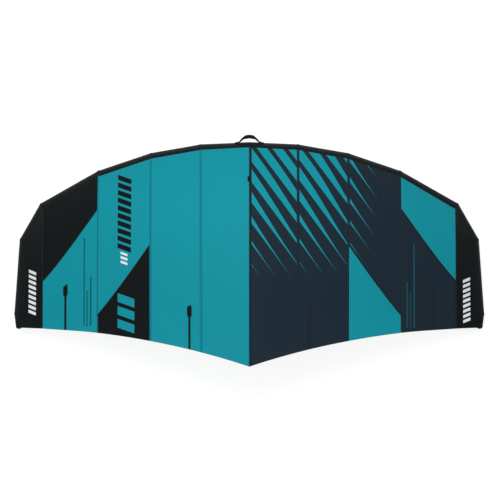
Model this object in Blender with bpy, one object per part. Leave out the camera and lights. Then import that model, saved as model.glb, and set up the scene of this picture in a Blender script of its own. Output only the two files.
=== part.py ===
"""Inflatable hand-held wing for wing foiling, lying canopy up on its two tips.

Metres, +Z up, +Y towards the leading edge, +X across the span. The right half is worked out and
the left half is its mirror image, except for the valve, the air hose and the colours.
"""

import math

import bmesh
import bpy
from mathutils import Matrix, Vector

# Overall sizes
SPAN = 3.60
ROOT_LENGTH = 1.749
SWEEP_BACK = 1.104
TUBE_RISE = 0.385
TRAILING_TIP_HEIGHT = 0.085

# Where the leading edge tube kinks, from the middle to the tip end
ACROSS_SHARES = (0.0, 0.2023, 0.4076, 0.6251, 0.8627, 0.9461, 0.9759)
BACK_SHARES = (0.0, 0.0, 0.0263, 0.093, 0.2417, 0.4554, 1.0)
RISE_SHARES = (1.0, 0.93, 0.774, 0.499, 0.096, 0.0, 0.0)
RADIUS_SHARES = (1.0, 0.976, 0.904, 0.8, 0.656, 0.528, 0.36)
ATTACH_ANGLES = (68, 68, 68, 68, 70, 82, 95)

# Where the seams and the tip corner meet the trailing edge. The corner lies behind the tube's end.
TIP_CORNER_BACK = 0.1245
TRAILING_ACROSS_SHARES = (0.0, 0.2072, 0.4213, 0.6459, 0.88, 0.9906)
TRAILING_BACK_SHARES = (1.0, 0.7413, 0.4993, 0.2665, 0.0655, 0.0)
TRAILING_RISE_SHARES = (1.0, 0.93, 0.764, 0.488, 0.133, 0.0)

# Tubes and skins
TUBE_RADIUS = 0.125
STRUT_RADIUS = 0.075
STRUT_TAIL_SHARE = 0.36
STRUT_TAPER_START_SHARE = 0.42
SLEEVE_WALL = 0.0015
BLADDER_WALL = 0.001
BLADDER_CLEARANCE = 0.0005
CLOTH = 0.002
SEAM_GAP = 0.0003
SEAT_GAP = 0.0004
LOW_SEAT_GAP = 0.0008
TUBE_SIDES = 24
TIP_CAP_LENGTH = 0.104
TIP_CAP_SHARE = 0.5

# Canopy camber and mesh rows, as shares of each seam's length
CAMBER_POWER = 1.6
CAMBER_LIFT_SHARE = 0.04
ROW_SHARES = (0.0, 0.02, 0.05, 0.09, 0.13, 0.2, 0.29, 0.39, 0.5, 0.62, 0.74, 0.87, 1.0)
PANEL_COLUMNS = 3
HALF_ROWS = 7
TIP_EDGE_STEPS = 3
STRUT_END_SHARE = 0.985
STRUT_ROW_BREAKS = (0, 7, 12)
STRUT_BLADDER_ROWS = (4, 11)

# Slanting joins inside two of the panels: share of seam length at the inner and outer seam
INNER_SLANT_SHARES = (0.516, 0.9)
OUTER_SLANT_SHARES = (0.272, 0.612)

# Trailing edge tape
TAPE_WIDTH = 0.016
TAPE_THICKNESS = 0.003

# Battens and their pockets, each on one panel at a share of its width
BATTEN_WIDTH = 0.012
BATTEN_THICKNESS = 0.0015
POCKET_WALL = 0.0012
POCKET_WIDTH = 0.024
POCKET_HEAD_WIDTH = 0.038
POCKET_HEAD_LENGTH = 0.075
POCKET_END_MARGIN = 0.006
INNER_BATTEN_PLACE_SHARE = 0.224
OUTER_BATTEN_PLACE_SHARE = 0.576
INNER_BATTEN_LENGTH = 0.366
OUTER_BATTEN_LENGTH = 0.345

# Tip pads that the wing lies on
PAD_THICKNESS = 0.003
PAD_WIDTH = 0.032
PAD_START_SHARE = 0.04
PAD_END_SHARE = 0.92

# Carrying handle on the leading edge
LOOP_HALF_WIDTH = 0.072
LOOP_HEIGHT = 0.05
LOOP_FILLET = 0.014
LOOP_FOOT = 0.106
LOOP_ROD_RADIUS = 0.008
LOOP_ANGLE = 40
LOOP_PATCH_HALF = 0.112
LOOP_PATCH_WIDTH = 0.046
PATCH_THICKNESS = 0.002
SWING_CLEARANCE = 0.0005

# Handles under the strut
FRONT_HANDLE_BACK = 0.34
REAR_HANDLE_BACK = 0.95
HANDLE_LENGTH = 0.3
HANDLE_DEPTH = 0.08
HANDLE_CORNER = 0.04
HANDLE_FOOT = 0.022
HANDLE_FOOT_CORNER = 0.012
STRAP_RADIUS = 0.006
GRIP_RADIUS = 0.016
GRIP_END_MARGIN = 0.006
STRUT_PATCH_WIDTH = 0.05
STRUT_PATCH_MARGIN = 0.02

# Leash loop under the front of the strut
LEASH_BACK = 0.245
LEASH_HALF_WIDTH = 0.016
LEASH_DEPTH = 0.046
LEASH_CORNER = 0.014
LEASH_TOP_CORNER = 0.005
LEASH_CORD_RADIUS = 0.0025

# Inflation valve under the left half of the leading edge
VALVE_ACROSS = 0.19
VALVE_ANGLE = 255
COLLAR_RADIUS = 0.030
COLLAR_BORE = 0.024
COLLAR_HEIGHT = 0.016
FLANGE_RADIUS = 0.040
FLANGE_THICKNESS = 0.002
BODY_BORE = 0.016
BODY_RECESS = 0.002
BODY_DEPTH = 0.006
BODY_SEAT_WIDTH = 0.002
FLAP_THICKNESS = 0.0015
FLAP_CLEARANCE = 0.0006
CAP_THICKNESS = 0.003
CAP_OVERHANG = 0.001
CAP_PLUG_DEPTH = 0.006
CAP_PLUG_CLEARANCE = 0.0006
CAP_TAB_LENGTH = 0.009
CAP_TAB_WIDTH = 0.014
CAP_KNUCKLE_RADIUS = 0.0025
CAP_KNUCKLE_LENGTH = 0.012
CAP_RING_WALL = 0.003
CAP_RING_HEIGHT = 0.004
CAP_RING_LEVEL = 0.005
RUNNING_GAP = 0.0003

# Air hose from the leading edge to the strut
HOSE_ACROSS = 0.13
HOSE_ANGLE = 222
HOSE_STRUT_BACK = 0.40
HOSE_STRUT_ANGLE = 332
HOSE_RADIUS = 0.0095
HOSE_WALL = 0.0022
HOSE_STRAIGHT = 0.026
HOSE_PULL = 0.07
HOSE_STEPS = 12
NIPPLE_WALL = 0.002
NIPPLE_FLANGE = 0.017
NIPPLE_FLANGE_THICKNESS = 0.0015
NIPPLE_LENGTH = 0.024
HOSE_STAND_OFF = 0.003
CLAMP_WIDTH = 0.007
CLAMP_WALL = 0.0016
CLAMP_LEVEL = 0.009

# Pinch clip on the air hose
CLIP_WIDTH = 0.016
CLIP_ARM_THICKNESS = 0.0045
CLIP_REACH = 0.024
CLIP_KNUCKLE_RADIUS = 0.0042
CLIP_PIN_RADIUS = 0.0014
CLIP_PIN_HEAD_RADIUS = 0.0028
CLIP_PIN_HEAD = 0.001
CLIP_OPEN_ANGLE = 28
CLIP_EYE_STEPS = 8
CLIP_CLEARANCE = 0.0008

ROUND_STEPS = 32
ROD_RESOLUTION = 2
HOSE_SIDES = 16
OVERRUN = 0.02
MERGE = 0.000001

BLACK = (0.012, 0.012, 0.013)
COLOURS = {
    "tube_cloth": (BLACK, 0.62, 0.0),
    "canopy_teal": ((0.009, 0.275, 0.345), 0.5, 0.0),
    "canopy_navy": ((0.013, 0.024, 0.038), 0.5, 0.0),
    "canopy_black": (BLACK, 0.5, 0.0),
    "bladder_film": ((0.62, 0.64, 0.62), 0.35, 0.0),
    "webbing": ((0.016, 0.016, 0.018), 0.75, 0.0),
    "grip_foam": ((0.02, 0.02, 0.022), 0.85, 0.0),
    "valve_plastic": ((0.03, 0.03, 0.032), 0.4, 0.0),
    "hose_rubber": ((0.35, 0.37, 0.38), 0.4, 0.0),
    "clip_plastic": ((0.45, 0.04, 0.03), 0.4, 0.0),
    "steel": ((0.6, 0.6, 0.6), 0.3, 1.0),
    "batten_strip": ((0.7, 0.68, 0.58), 0.5, 0.0),
    "pad_rubber": ((0.02, 0.02, 0.02), 0.8, 0.0),
}


def clear_scene():
    for thing in list(bpy.data.objects):
        bpy.data.objects.remove(thing)


def make_materials():
    made = {}
    for name, (colour, roughness, metallic) in COLOURS.items():
        made[name] = bpy.data.materials.new(name)
        made[name].use_nodes = True
        shader = made[name].node_tree.nodes["Principled BSDF"]
        shader.inputs["Base Color"].default_value = (*colour, 1.0)
        shader.inputs["Roughness"].default_value = roughness
        shader.inputs["Metallic"].default_value = metallic
    return made


def mix(first, second, share):
    return first + (second - first) * share


def side_normal(rings, low, angle):
    """The way out of the flat side of a tube's stretch at an angle."""
    step = 360 / TUBE_SIDES
    corner = math.floor(angle / step) * step
    start = rings[low].point(corner)
    across = rings[low].point(corner + step) - start
    along = rings[low + 1].point(corner) - start
    normal = across.cross(along).normalized()
    return normal if normal.dot(start - rings[low].centre) > 0 else -normal


def square_to(way, axis):
    """The unit direction nearest to a way that stands square to an axis."""
    return (way - axis * way.dot(axis)).normalized()


def mirrored(point, side):
    return Vector((point.x * side, point.y, point.z))


class Shop:
    """Makes the objects, each under the wing's empty or under the empty on its joint's axis."""

    def __init__(self):
        self.materials = make_materials()
        self.wing = self.empty("wing", Vector())

    def empty(self, name, place, parent=None):
        made = bpy.data.objects.new(name, None)
        bpy.context.scene.collection.objects.link(made)
        made.location = place
        made.parent = parent
        return made

    def pivot(self, name, place):
        return self.empty(name, place, self.wing)

    def add(self, name, data, material, pivot=None):
        made = bpy.data.objects.new(name, data)
        bpy.context.scene.collection.objects.link(made)
        data.materials.append(self.materials[material])
        made.parent = pivot or self.wing
        made.location = -pivot.location if pivot else Vector()
        return made

    def solid(self, name, body, material, pivot=None, sharp=35):
        """A closed bmesh as an object, with its faces turned out."""
        bmesh.ops.remove_doubles(body, verts=body.verts, dist=MERGE)
        loose = [edge for edge in body.edges if not edge.link_faces]
        bmesh.ops.delete(body, geom=loose, context="EDGES")
        bmesh.ops.recalc_face_normals(body, faces=body.faces)
        return self.add(name, finished(body, sharp), material, pivot)

    def cutter(self, name, body):
        made = self.solid(name, body, "steel")
        made.hide_render = True
        made.display_type = "WIRE"
        return made


def finished(body, sharp):
    """The bmesh as mesh data. Short diagonals split skins that lie inside each other alike."""
    bmesh.ops.triangulate(body, faces=body.faces, quad_method="SHORT_EDGE")
    data = bpy.data.meshes.new("shape")
    body.to_mesh(data)
    body.free()
    data.shade_smooth()
    data.set_sharp_from_angle(angle=math.radians(sharp))
    return data


def cut(target, cutter):
    boolean = target.modifiers.new("cut_" + cutter.name, "BOOLEAN")
    boolean.operation = "DIFFERENCE"
    boolean.object = cutter
    return boolean


def solidify(target, wall):
    """Gives an open skin a wall on its inner side."""
    made = target.modifiers.new("wall", "SOLIDIFY")
    made.thickness = wall
    made.offset = -1
    return made


def add_loft(body, sections, wrap=False, capped=True):
    """Faces through a list of closed sections. Wrap joins the last section to the first."""
    loops = [[body.verts.new(point) for point in section] for section in sections]
    following = loops[1:] + loops[:1] if wrap else loops[1:]
    for near, far in zip(loops, following):
        for i in range(len(near)):
            j = (i + 1) % len(near)
            body.faces.new((near[i], near[j], far[j], far[i]))
    if capped and not wrap:
        body.faces.new(loops[0])
        body.faces.new(loops[-1])
    return loops


def add_sheet(body, sections):
    """A loft of a thin sheet, whose upper and under faces are split along the same diagonals."""
    loops = [[body.verts.new(point) for point in section] for section in sections]
    half = len(sections[0]) // 2
    for near, far in zip(loops, loops[1:]):
        for i in range(len(near)):
            j = (i + 1) % len(near)
            if i < half:
                halves = (near[i], near[j], far[j]), (near[i], far[j], far[i])
            else:
                halves = (near[i], near[j], far[i]), (near[j], far[j], far[i])
            for corners in halves:
                body.faces.new(corners)
    for loop in (loops[0], loops[-1]):
        for i in range(half - 1):
            body.faces.new((loop[i], loop[i + 1], loop[-2 - i], loop[-1 - i]))


def loft(sections, wrap=False):
    body = bmesh.new()
    add_loft(body, sections, wrap)
    return body


def revolved(profile, place, axis, start, steps=ROUND_STEPS):
    """A closed profile of (radius, height) turned about the axis through place."""
    side = square_to(start, axis)
    other = axis.cross(side)
    sections = []
    for step in range(steps):
        angle = math.tau * step / steps
        outward = side * math.cos(angle) + other * math.sin(angle)
        sections.append([place + outward * r + axis * h for r, h in profile])
    return loft(sections, wrap=True)


def add_box(body, place, axes, lows, highs):
    """A box in its own frame, between two corners given along the three axes."""
    made = bmesh.ops.create_cube(body, size=1.0)
    sizes = [high - low for low, high in zip(lows, highs)]
    middle = [(high + low) / 2 for low, high in zip(lows, highs)]
    centre = place + sum((axis * m for axis, m in zip(axes, middle)), Vector())
    turn = Matrix([axis * size for axis, size in zip(axes, sizes)]).transposed().to_4x4()
    turn.translation = centre
    bmesh.ops.transform(body, matrix=turn, verts=made["verts"])


# The leading edge tube


class Ring:
    """One ring of a tapered tube, in the plane where two straight stretches meet."""

    def __init__(self, centre, outward, up, along, radius):
        self.centre = centre
        self.outward = outward
        self.up = up
        self.along = along
        self.radius = radius

    def point(self, angle, lift=0.0):
        turn = math.radians(angle)
        way = self.outward * math.cos(turn) + self.up * math.sin(turn)
        slant = math.sqrt(1 - way.dot(self.along) ** 2)
        return self.centre + way * ((self.radius + lift) / slant)

    def loop(self, lift=0.0):
        return [self.point(360 * i / TUBE_SIDES, lift) for i in range(TUBE_SIDES)]

    def facet_point(self, angle, lift=0.0):
        """A point on the straight side between two corners of the ring."""
        step = 360 / TUBE_SIDES
        low = math.floor(angle / step)
        return mix(self.point(low * step, lift), self.point((low + 1) * step, lift), angle / step - low)


def skin_point(rings, place, angle, lift=0.0):
    """A point on a tube's flat-sided skin. Place counts rings, with a share for in between."""
    low = min(int(place), len(rings) - 2)
    first = rings[low].facet_point(angle, lift)
    return mix(first, rings[low + 1].facet_point(angle, lift), place - low)


def skin_normal(rings, place, angle):
    low = min(int(place), len(rings) - 2)
    axis_point = mix(rings[low].centre, rings[low + 1].centre, place - low)
    along = (rings[low + 1].centre - rings[low].centre).normalized()
    return square_to(skin_point(rings, place, angle) - axis_point, along)


def tube_radius(index):
    return TUBE_RADIUS * RADIUS_SHARES[index]


def tube_centre(index):
    rest = tube_radius(index) + PAD_THICKNESS + SEAT_GAP
    return Vector(
        (
            SPAN / 2 * ACROSS_SHARES[index],
            -SWEEP_BACK * BACK_SHARES[index],
            rest + TUBE_RISE * RISE_SHARES[index],
        )
    )


def tube_rings():
    """The rings of the right half, from the middle to the tip."""
    centres = [tube_centre(i) for i in range(len(ACROSS_SHARES))]
    ways = [(b - a).normalized() for a, b in zip(centres, centres[1:])]
    first = Vector((-ways[0].x, ways[0].y, ways[0].z))
    before = [-first] + ways
    after = ways + [ways[-1]]
    rings = []
    for index, centre in enumerate(centres):
        through = (before[index] + after[index]).normalized()
        up = (Vector((0, 0, 1)) - through * through.z).normalized()
        outward = up.cross(through)
        rings.append(Ring(centre, outward, up, after[index], tube_radius(index)))
    return rings


def tip_cap_ring(rings):
    end = rings[-1]
    radius = end.radius * TIP_CAP_SHARE
    centre = end.centre + end.along * TIP_CAP_LENGTH
    return Ring(centre, end.outward, end.up, end.along, radius)


def place_across(rings, across):
    """How far along the first stretch of the tube a distance across the span lies."""
    return across / rings[1].centre.x


def wall_sections(rings, wall, inset, closed=False):
    """Closed sections of a tube's wall, one for each corner of its rings. Closed gives it an end wall."""
    end = rings[-1]
    back = end.along * -wall
    sections = []
    for i in range(TUBE_SIDES):
        angle = 360 * i / TUBE_SIDES
        outer = [ring.point(angle) for ring in rings]
        inner = [ring.point(angle, -wall) for ring in rings]
        for line in (outer, inner):
            line[0] = line[0] + (line[1] - line[0]).normalized() * inset
            if not closed:
                line[-1] = line[-1] + (line[-2] - line[-1]).normalized() * inset
        if closed:
            inner[-1] = inner[-1] + back
            outer.append(end.centre)
            inner.append(end.centre + back)
        sections.append(outer + inner[::-1])
    return sections


def bag_of(rings, lift):
    """The closed skin of an air bag, with its faces turned out."""
    body = loft([ring.loop(lift) for ring in rings])
    bmesh.ops.recalc_face_normals(body, faces=body.faces)
    return body


def mirror_body(body, side):
    if side < 0:
        bmesh.ops.transform(body, matrix=Matrix.Scale(-1, 4, Vector((1, 0, 0))), verts=body.verts)
        bmesh.ops.reverse_faces(body, faces=body.faces)
    return body


def add_tube_sleeves(shop, rings, side, word):
    sleeves = []
    last = len(rings) - 2
    for index in range(1, last):
        sections = wall_sections(rings[index - 1 : index + 1], SLEEVE_WALL, SEAM_GAP / 2)
        body = mirror_body(loft(sections, wrap=True), side)
        sleeves.append(shop.solid(f"leading_edge_{word}_{index}", body, "tube_cloth"))
    sections = wall_sections([*rings[-3:], tip_cap_ring(rings)], SLEEVE_WALL, SEAM_GAP / 2, closed=True)
    body = mirror_body(loft(sections, wrap=True), side)
    sleeves.append(shop.solid(f"leading_edge_{word}_{last}", body, "tube_cloth"))
    return sleeves


def mirrored_ring(ring):
    """The ring at the same place on the left half, with its corners in the same turning order."""
    return Ring(
        mirrored(ring.centre, -1),
        mirrored(ring.outward, -1),
        mirrored(ring.up, -1),
        mirrored(ring.along, -1),
        ring.radius,
    )


def add_tube_bladder(shop, rings):
    """One long air bag from tip to tip, inside the sleeves."""
    inset = -(SLEEVE_WALL + BLADDER_CLEARANCE)
    whole = [mirrored_ring(ring) for ring in rings[:0:-1]] + rings
    bladder = shop.add("leading_edge_bladder", finished(bag_of(whole, inset), 35), "bladder_film")
    solidify(bladder, BLADDER_WALL)
    return bladder


# The canopy


class Seam:
    """A chordwise seam. It leaves the tube along its skin and has its camber in its own upright plane."""

    def __init__(self, start, end, slope):
        self.start = start
        self.end = end
        self.rise = (end - start).cross(Vector((1, 0, 0))).normalized()
        self.slope = slope

    def curve(self, share):
        length = (self.end - self.start).length
        height = self.slope * length * share * (1 - share) ** CAMBER_POWER
        return mix(self.start, self.end, share) + self.rise * height

    def point(self, share):
        """The seam as its straight rows make it."""
        rows = zip(ROW_SHARES, ROW_SHARES[1:])
        low, high = next((a, b) for a, b in rows if share <= b)
        return mix(self.curve(low), self.curve(high), (share - low) / (high - low))

    def direction(self):
        return (self.end - self.start).normalized()


def attach_point(rings, place, gap=SEAT_GAP):
    """Where the upper face of the cloth meets the tube, at a place along it."""
    low = min(int(place), len(rings) - 2)
    angle = mix(ATTACH_ANGLES[low], ATTACH_ANGLES[low + 1], place - low)
    return skin_point(rings, place, angle, gap + CLOTH)


def trailing_points(rings):
    top = rings[0].centre.z - TRAILING_TIP_HEIGHT
    tip_back = SWEEP_BACK + TIP_CORNER_BACK
    points = []
    for across, back, rise in zip(TRAILING_ACROSS_SHARES, TRAILING_BACK_SHARES, TRAILING_RISE_SHARES):
        height = TRAILING_TIP_HEIGHT + top * rise
        points.append(Vector((SPAN / 2 * across, -mix(tip_back, ROOT_LENGTH, back), height)))
    return points


def canopy_seams(rings):
    seams = []
    for index, end in enumerate(trailing_points(rings)[:-1]):
        seam = Seam(attach_point(rings, index), end, 0.0)
        sides = [side_normal(rings, low, ATTACH_ANGLES[index]) for low in (index - 1, index) if low >= 0]
        steepest = max(-seam.direction().dot(out) / seam.rise.dot(out) for out in sides)
        seam.slope = steepest + CAMBER_LIFT_SHARE
        seams.append(seam)
    return seams


class Panel:
    """A patch of canopy held as rows of points on its upper face, with the way its thickness runs."""

    def __init__(self, rows, rise):
        self.rows = rows
        self.rise = rise

    def sections(self):
        drop = self.rise * CLOTH
        return [row + [point - drop for point in row[::-1]] for row in self.rows]

    def corner(self, row, column, lift):
        return self.rows[row][column] + self.rise * lift

    def point(self, column, row, lift=0.0):
        """A point at fractional column and row counts, on the triangles of the sheet."""
        c = min(int(column), len(self.rows[0]) - 2)
        r = min(int(row), len(self.rows) - 2)
        across = column - c
        along = row - r
        start = self.corner(r, c, lift)
        end = self.corner(r + 1, c + 1, lift)
        if across > along:
            turn = self.corner(r, c + 1, lift)
            return start + (turn - start) * across + (end - turn) * along
        turn = self.corner(r + 1, c, lift)
        return start + (turn - start) * along + (end - turn) * across

    def rows_between(self, column, first, last):
        """Row counts where a strip along a column has to bend: at rows and at the diagonals."""
        places = [row + part for row in range(len(self.rows)) for part in (0.0, column - int(column))]
        return [first, *[place for place in places if first + SEAM_GAP < place < last - SEAM_GAP], last]


def panel_between(inner, outer, starts, ends, row_shares):
    """The panel between two seams. Starts and ends are shares of the seams at the inner and outer side."""
    inset = SEAM_GAP / 2 / (outer.start - inner.start).length
    rows = []
    for share in row_shares:
        points = []
        for column in range(PANEL_COLUMNS + 1):
            across = min(max(column / PANEL_COLUMNS, inset), 1 - inset)
            along = mix(mix(starts[0], starts[1], across), mix(ends[0], ends[1], across), share)
            points.append(mix(inner.point(along), outer.point(along), across))
        rows.append(points)
    return Panel(rows, (inner.rise + outer.rise).normalized())


def slanted_panels(inner, outer, slants):
    """The front and rear pieces of a panel with a slanting join."""
    halves = [i / HALF_ROWS for i in range(HALF_ROWS + 1)]
    gap = SEAM_GAP / (outer.end - outer.start).length
    front = panel_between(inner, outer, (0.0, 0.0), [s - gap for s in slants], halves)
    rear = panel_between(inner, outer, [s + gap for s in slants], (1.0, 1.0), halves)
    return front, rear


def tip_panel(seam, rings, corner):
    """The last piece, from the outer seam to the tube's tip, which narrows to a point in front."""
    first = len(rings) - 3
    places = [first + step / TIP_EDGE_STEPS for step in range(2 * TIP_EDGE_STEPS + 1)]
    edge = [attach_point(rings, place, LOW_SEAT_GAP) for place in places] + [corner]
    edge[0] = seam.start
    run = edge[0].y - edge[-1].y
    shift = Vector((SEAM_GAP, 0, 0))
    rows = []
    for outer in edge:
        inner = seam.point((edge[0].y - outer.y) / run)
        rows.append([mix(inner, outer, c / PANEL_COLUMNS) + shift for c in range(PANEL_COLUMNS + 1)])
    return Panel(rows, seam.rise)


def canopy_panels(rings, seams):
    """Every panel of the right half by name."""
    full = (0.0, 0.0), (1.0, 1.0)
    panels = {
        "1": panel_between(seams[0], seams[1], *full, ROW_SHARES),
        "2": panel_between(seams[1], seams[2], *full, ROW_SHARES),
    }
    panels["3_front"], panels["3_rear"] = slanted_panels(seams[2], seams[3], INNER_SLANT_SHARES)
    panels["4_front"], panels["4_rear"] = slanted_panels(seams[3], seams[4], OUTER_SLANT_SHARES)
    panels["tip"] = tip_panel(seams[-1], rings, trailing_points(rings)[-1])
    return panels


LEFT_COLOURS = {
    "1": "canopy_teal",
    "2": "canopy_teal",
    "3_front": "canopy_teal",
    "3_rear": "canopy_black",
    "4_front": "canopy_black",
    "4_rear": "canopy_teal",
    "tip": "canopy_black",
}
RIGHT_COLOURS = {
    "1": "canopy_navy",
    "2": "canopy_navy",
    "3_front": "canopy_navy",
    "3_rear": "canopy_teal",
    "4_front": "canopy_teal",
    "4_rear": "canopy_navy",
    "tip": "canopy_black",
}


def add_canopy(shop, panels, side, word, colours):
    for name, panel in panels.items():
        body = bmesh.new()
        add_sheet(body, panel.sections())
        shop.solid(f"canopy_{word}_{name}", mirror_body(body, side), colours[name])


def add_trailing_tape(shop, seams, rears):
    """One folded tape behind the whole trailing edge, from tip to tip."""
    ends = [(seam.end, seam) for seam in seams]
    ends.append((rears[-1], seams[-1]))
    proud = (TAPE_THICKNESS - CLOTH) / 2
    sections = []
    for end, seam in ends:
        near = end + seam.direction() * SEAM_GAP + seam.rise * proud
        far = near + seam.direction() * TAPE_WIDTH
        under = seam.rise * TAPE_THICKNESS
        sections.append([near, far, far - under, near - under])
    left = [[mirrored(point, -1) for point in section] for section in sections[:0:-1]]
    shop.solid("trailing_edge_tape", loft(left + sections), "webbing")


# Battens


def batten_frame(panel, place_share, length):
    """Columns and rows of a panel for a batten pocket that ends at the trailing edge."""
    column = PANEL_COLUMNS * place_share
    last = len(panel.rows) - 1
    width = (panel.point(PANEL_COLUMNS, last) - panel.point(0, last)).length
    per_column = PANEL_COLUMNS / width
    row = last
    left = length
    while left > 0:
        step = (panel.point(column, row) - panel.point(column, row - 1)).length
        row -= min(1.0, left / step)
        left -= step
    return column, per_column, row, last


def row_at(panel, column, row, distance):
    """The row count a distance nearer the front than a row."""
    step = (panel.point(column, math.ceil(row)) - panel.point(column, math.ceil(row) - 1)).length
    return row + distance / step


def add_batten(shop, panel, side, word, place_share, length):
    column, per_column, start, last = batten_frame(panel, place_share, length)
    head = row_at(panel, column, start, POCKET_HEAD_LENGTH)
    inside = row_at(panel, column, start, POCKET_HEAD_LENGTH / 4)
    end = row_at(panel, column, last, -POCKET_END_MARGIN)
    room = BATTEN_THICKNESS + 2 * SEAM_GAP
    rows = panel.rows_between(column, start, last)
    rows = sorted({*rows, head})
    sections = []
    for row in rows:
        half = (POCKET_HEAD_WIDTH if row < head else POCKET_WIDTH) / 2 * per_column
        top = (POCKET_HEAD_WIDTH if row < head else POCKET_WIDTH) / 2 - room - POCKET_WALL
        sections.append(pocket_section(panel, column, row, half, top * per_column, per_column, room))
    shop.solid(f"batten_pocket_{word}", mirror_body(loft(sections), side), "webbing")
    strip = []
    for row in panel.rows_between(column, inside, end):
        half = BATTEN_WIDTH / 2 * per_column
        low = LOW_SEAT_GAP + SEAM_GAP
        corners = ((-half, low), (half, low), (half, low + BATTEN_THICKNESS), (-half, low + BATTEN_THICKNESS))
        strip.append([panel.point(column + c, row, lift) for c, lift in corners])
    shop.solid(f"batten_{word}", mirror_body(loft(strip), side), "batten_strip")


def add_battens(shop, panels, side, word):
    inner = INNER_BATTEN_PLACE_SHARE, INNER_BATTEN_LENGTH
    outer = OUTER_BATTEN_PLACE_SHARE, OUTER_BATTEN_LENGTH
    add_batten(shop, panels["2"], side, f"{word}_inner", *inner)
    add_batten(shop, panels["4_rear"], side, f"{word}_outer", *outer)


def pocket_section(panel, column, row, half, top, per_column, room):
    """A low arched section over the batten: feet on the cloth, a channel between them."""
    low = LOW_SEAT_GAP
    high = low + room + POCKET_WALL
    channel = (BATTEN_WIDTH / 2 + SEAM_GAP * 2) * per_column
    outline = (
        (-half, low),
        (-half, low + POCKET_WALL),
        (-top, high),
        (top, high),
        (half, low + POCKET_WALL),
        (half, low),
        (channel, low),
        (channel, low + room),
        (-channel, low + room),
        (-channel, low),
    )
    return [panel.point(column + c, row, lift) for c, lift in outline]


# The strut


def strut_radius(share):
    along = min(max((share - STRUT_TAPER_START_SHARE) / (1 - STRUT_TAPER_START_SHARE), 0.0), 1.0)
    smooth = along * along * (3 - 2 * along)
    return STRUT_RADIUS * mix(1.0, STRUT_TAIL_SHARE, smooth)


def strut_rings(seam):
    shares = [*ROW_SHARES[:-1], STRUT_END_SHARE]
    tops = [seam.point(share) for share in shares]
    ways = [(b - a).normalized() for a, b in zip(tops, tops[1:])]
    before = [ways[0]] + ways
    after = ways + [ways[-1]]
    rings = []
    for share, top, near, far in zip(shares, tops, before, after):
        through = (near + far).normalized()
        up = Vector((1, 0, 0)).cross(-through).normalized()
        radius = strut_radius(share)
        reach = (radius + CLOTH + LOW_SEAT_GAP) / math.cos(near.angle(far, 0.0) / 2)
        rings.append(Ring(top - up * reach, Vector((1, 0, 0)), up, far, radius))
    return rings


def strut_place(rings, back):
    """The place on the strut at a distance behind the middle of the leading edge tube."""
    for index, (near, far) in enumerate(zip(rings, rings[1:])):
        if -far.centre.y >= back:
            return index + (back + near.centre.y) / (near.centre.y - far.centre.y)
    return len(rings) - 1


def tube_cutter(shop, rings, name, lift):
    """The middle of the leading edge tube, a clearance larger, to cut what butts against it."""
    sections = [mirrored_ring(rings[1]).loop(lift), rings[0].loop(lift), rings[1].loop(lift)]
    return shop.cutter(name, loft(sections))


def add_strut(shop, strut, tube):
    mouth = tube_cutter(shop, tube, "strut_mouth_cutter", SEAT_GAP)
    names = ("strut_front", "strut_rear")
    sleeves = []
    for name, low, high in zip(names, STRUT_ROW_BREAKS, STRUT_ROW_BREAKS[1:]):
        last = high == len(strut) - 1
        sections = wall_sections(strut[low : high + 1], SLEEVE_WALL, SEAM_GAP / 2, closed=last)
        sleeves.append(shop.solid(name, loft(sections, wrap=True), "tube_cloth"))
    cut(sleeves[0], mouth)
    low, high = STRUT_BLADDER_ROWS
    inset = -(SLEEVE_WALL + BLADDER_CLEARANCE)
    bag = bag_of(strut[low : high + 1], inset)
    bladder = shop.add("strut_bladder", finished(bag, 35), "bladder_film")
    solidify(bladder, BLADDER_WALL)
    return sleeves, bladder


# Patches, handles and loops


def breaks_between(low, high, step):
    """Low and high with every multiple of a step between them."""
    inside = [k * step for k in range(math.ceil(low / step), math.floor(high / step) + 1)]
    return [low, *[value for value in inside if low < value < high], high]


def patch_sections(rings, places, middle_angle, width, lift, thickness):
    """A thin patch that follows the flat sides of a tube."""
    radius = rings[int(places[0])].radius
    half = math.degrees(width / 2 / radius)
    angles = breaks_between(middle_angle - half, middle_angle + half, 360 / TUBE_SIDES)
    sections = []
    for place in breaks_between(places[0], places[1], 1):
        under = [skin_point(rings, place, angle, lift) for angle in angles]
        top = [skin_point(rings, place, angle, lift + thickness) for angle in angles]
        sections.append(top + under[::-1])
    return sections


def turn_points(centre, first, second, radius, start, end, steps):
    """Points of an arc from angle start to angle end, turning from the first way to the second."""
    points = []
    for step in range(steps + 1):
        turn = mix(start, end, step / steps)
        points.append(centre + first * (radius * math.cos(turn)) + second * (radius * math.sin(turn)))
    return points


def arch_points(middle, along, reach, half_width, height, fillet, foot):
    """A round arch over its middle that flares at both ends into feet along its base line."""
    radius = (half_width**2 + height**2) / (2 * height)
    sunk = radius - height
    centre = middle - reach * sunk
    across = math.sqrt((radius + fillet) ** 2 - (fillet + sunk) ** 2)
    meet = math.atan2(fillet + sunk, across)
    corner = middle + along * across + reach * fillet
    right = turn_points(centre, along, reach, radius, math.pi / 2, meet, 9)
    right += turn_points(corner, -along, -reach, fillet, meet, math.pi / 2, 4)[1:]
    right.append(middle + along * foot)
    left = [point - along * (2 * (point - middle).dot(along)) for point in right[:0:-1]]
    return left + right


def bow_points(start, end, reach, depth, corner, foot, foot_corner):
    """From start along the base, round a corner and down, along at full depth, and back up to end."""
    along = (end - start).normalized()
    middle = (start + end) / 2
    first = start + along * foot + reach * foot_corner
    second = start + along * (foot + foot_corner + corner) + reach * (depth - corner)
    points = [start, *turn_points(first, -reach, along, foot_corner, 0.0, math.pi / 2, 3)]
    points += turn_points(second, -along, reach, corner, 0.0, math.pi / 2, 5)
    return points + [point - along * (2 * (point - middle).dot(along)) for point in points[::-1]]


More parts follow.
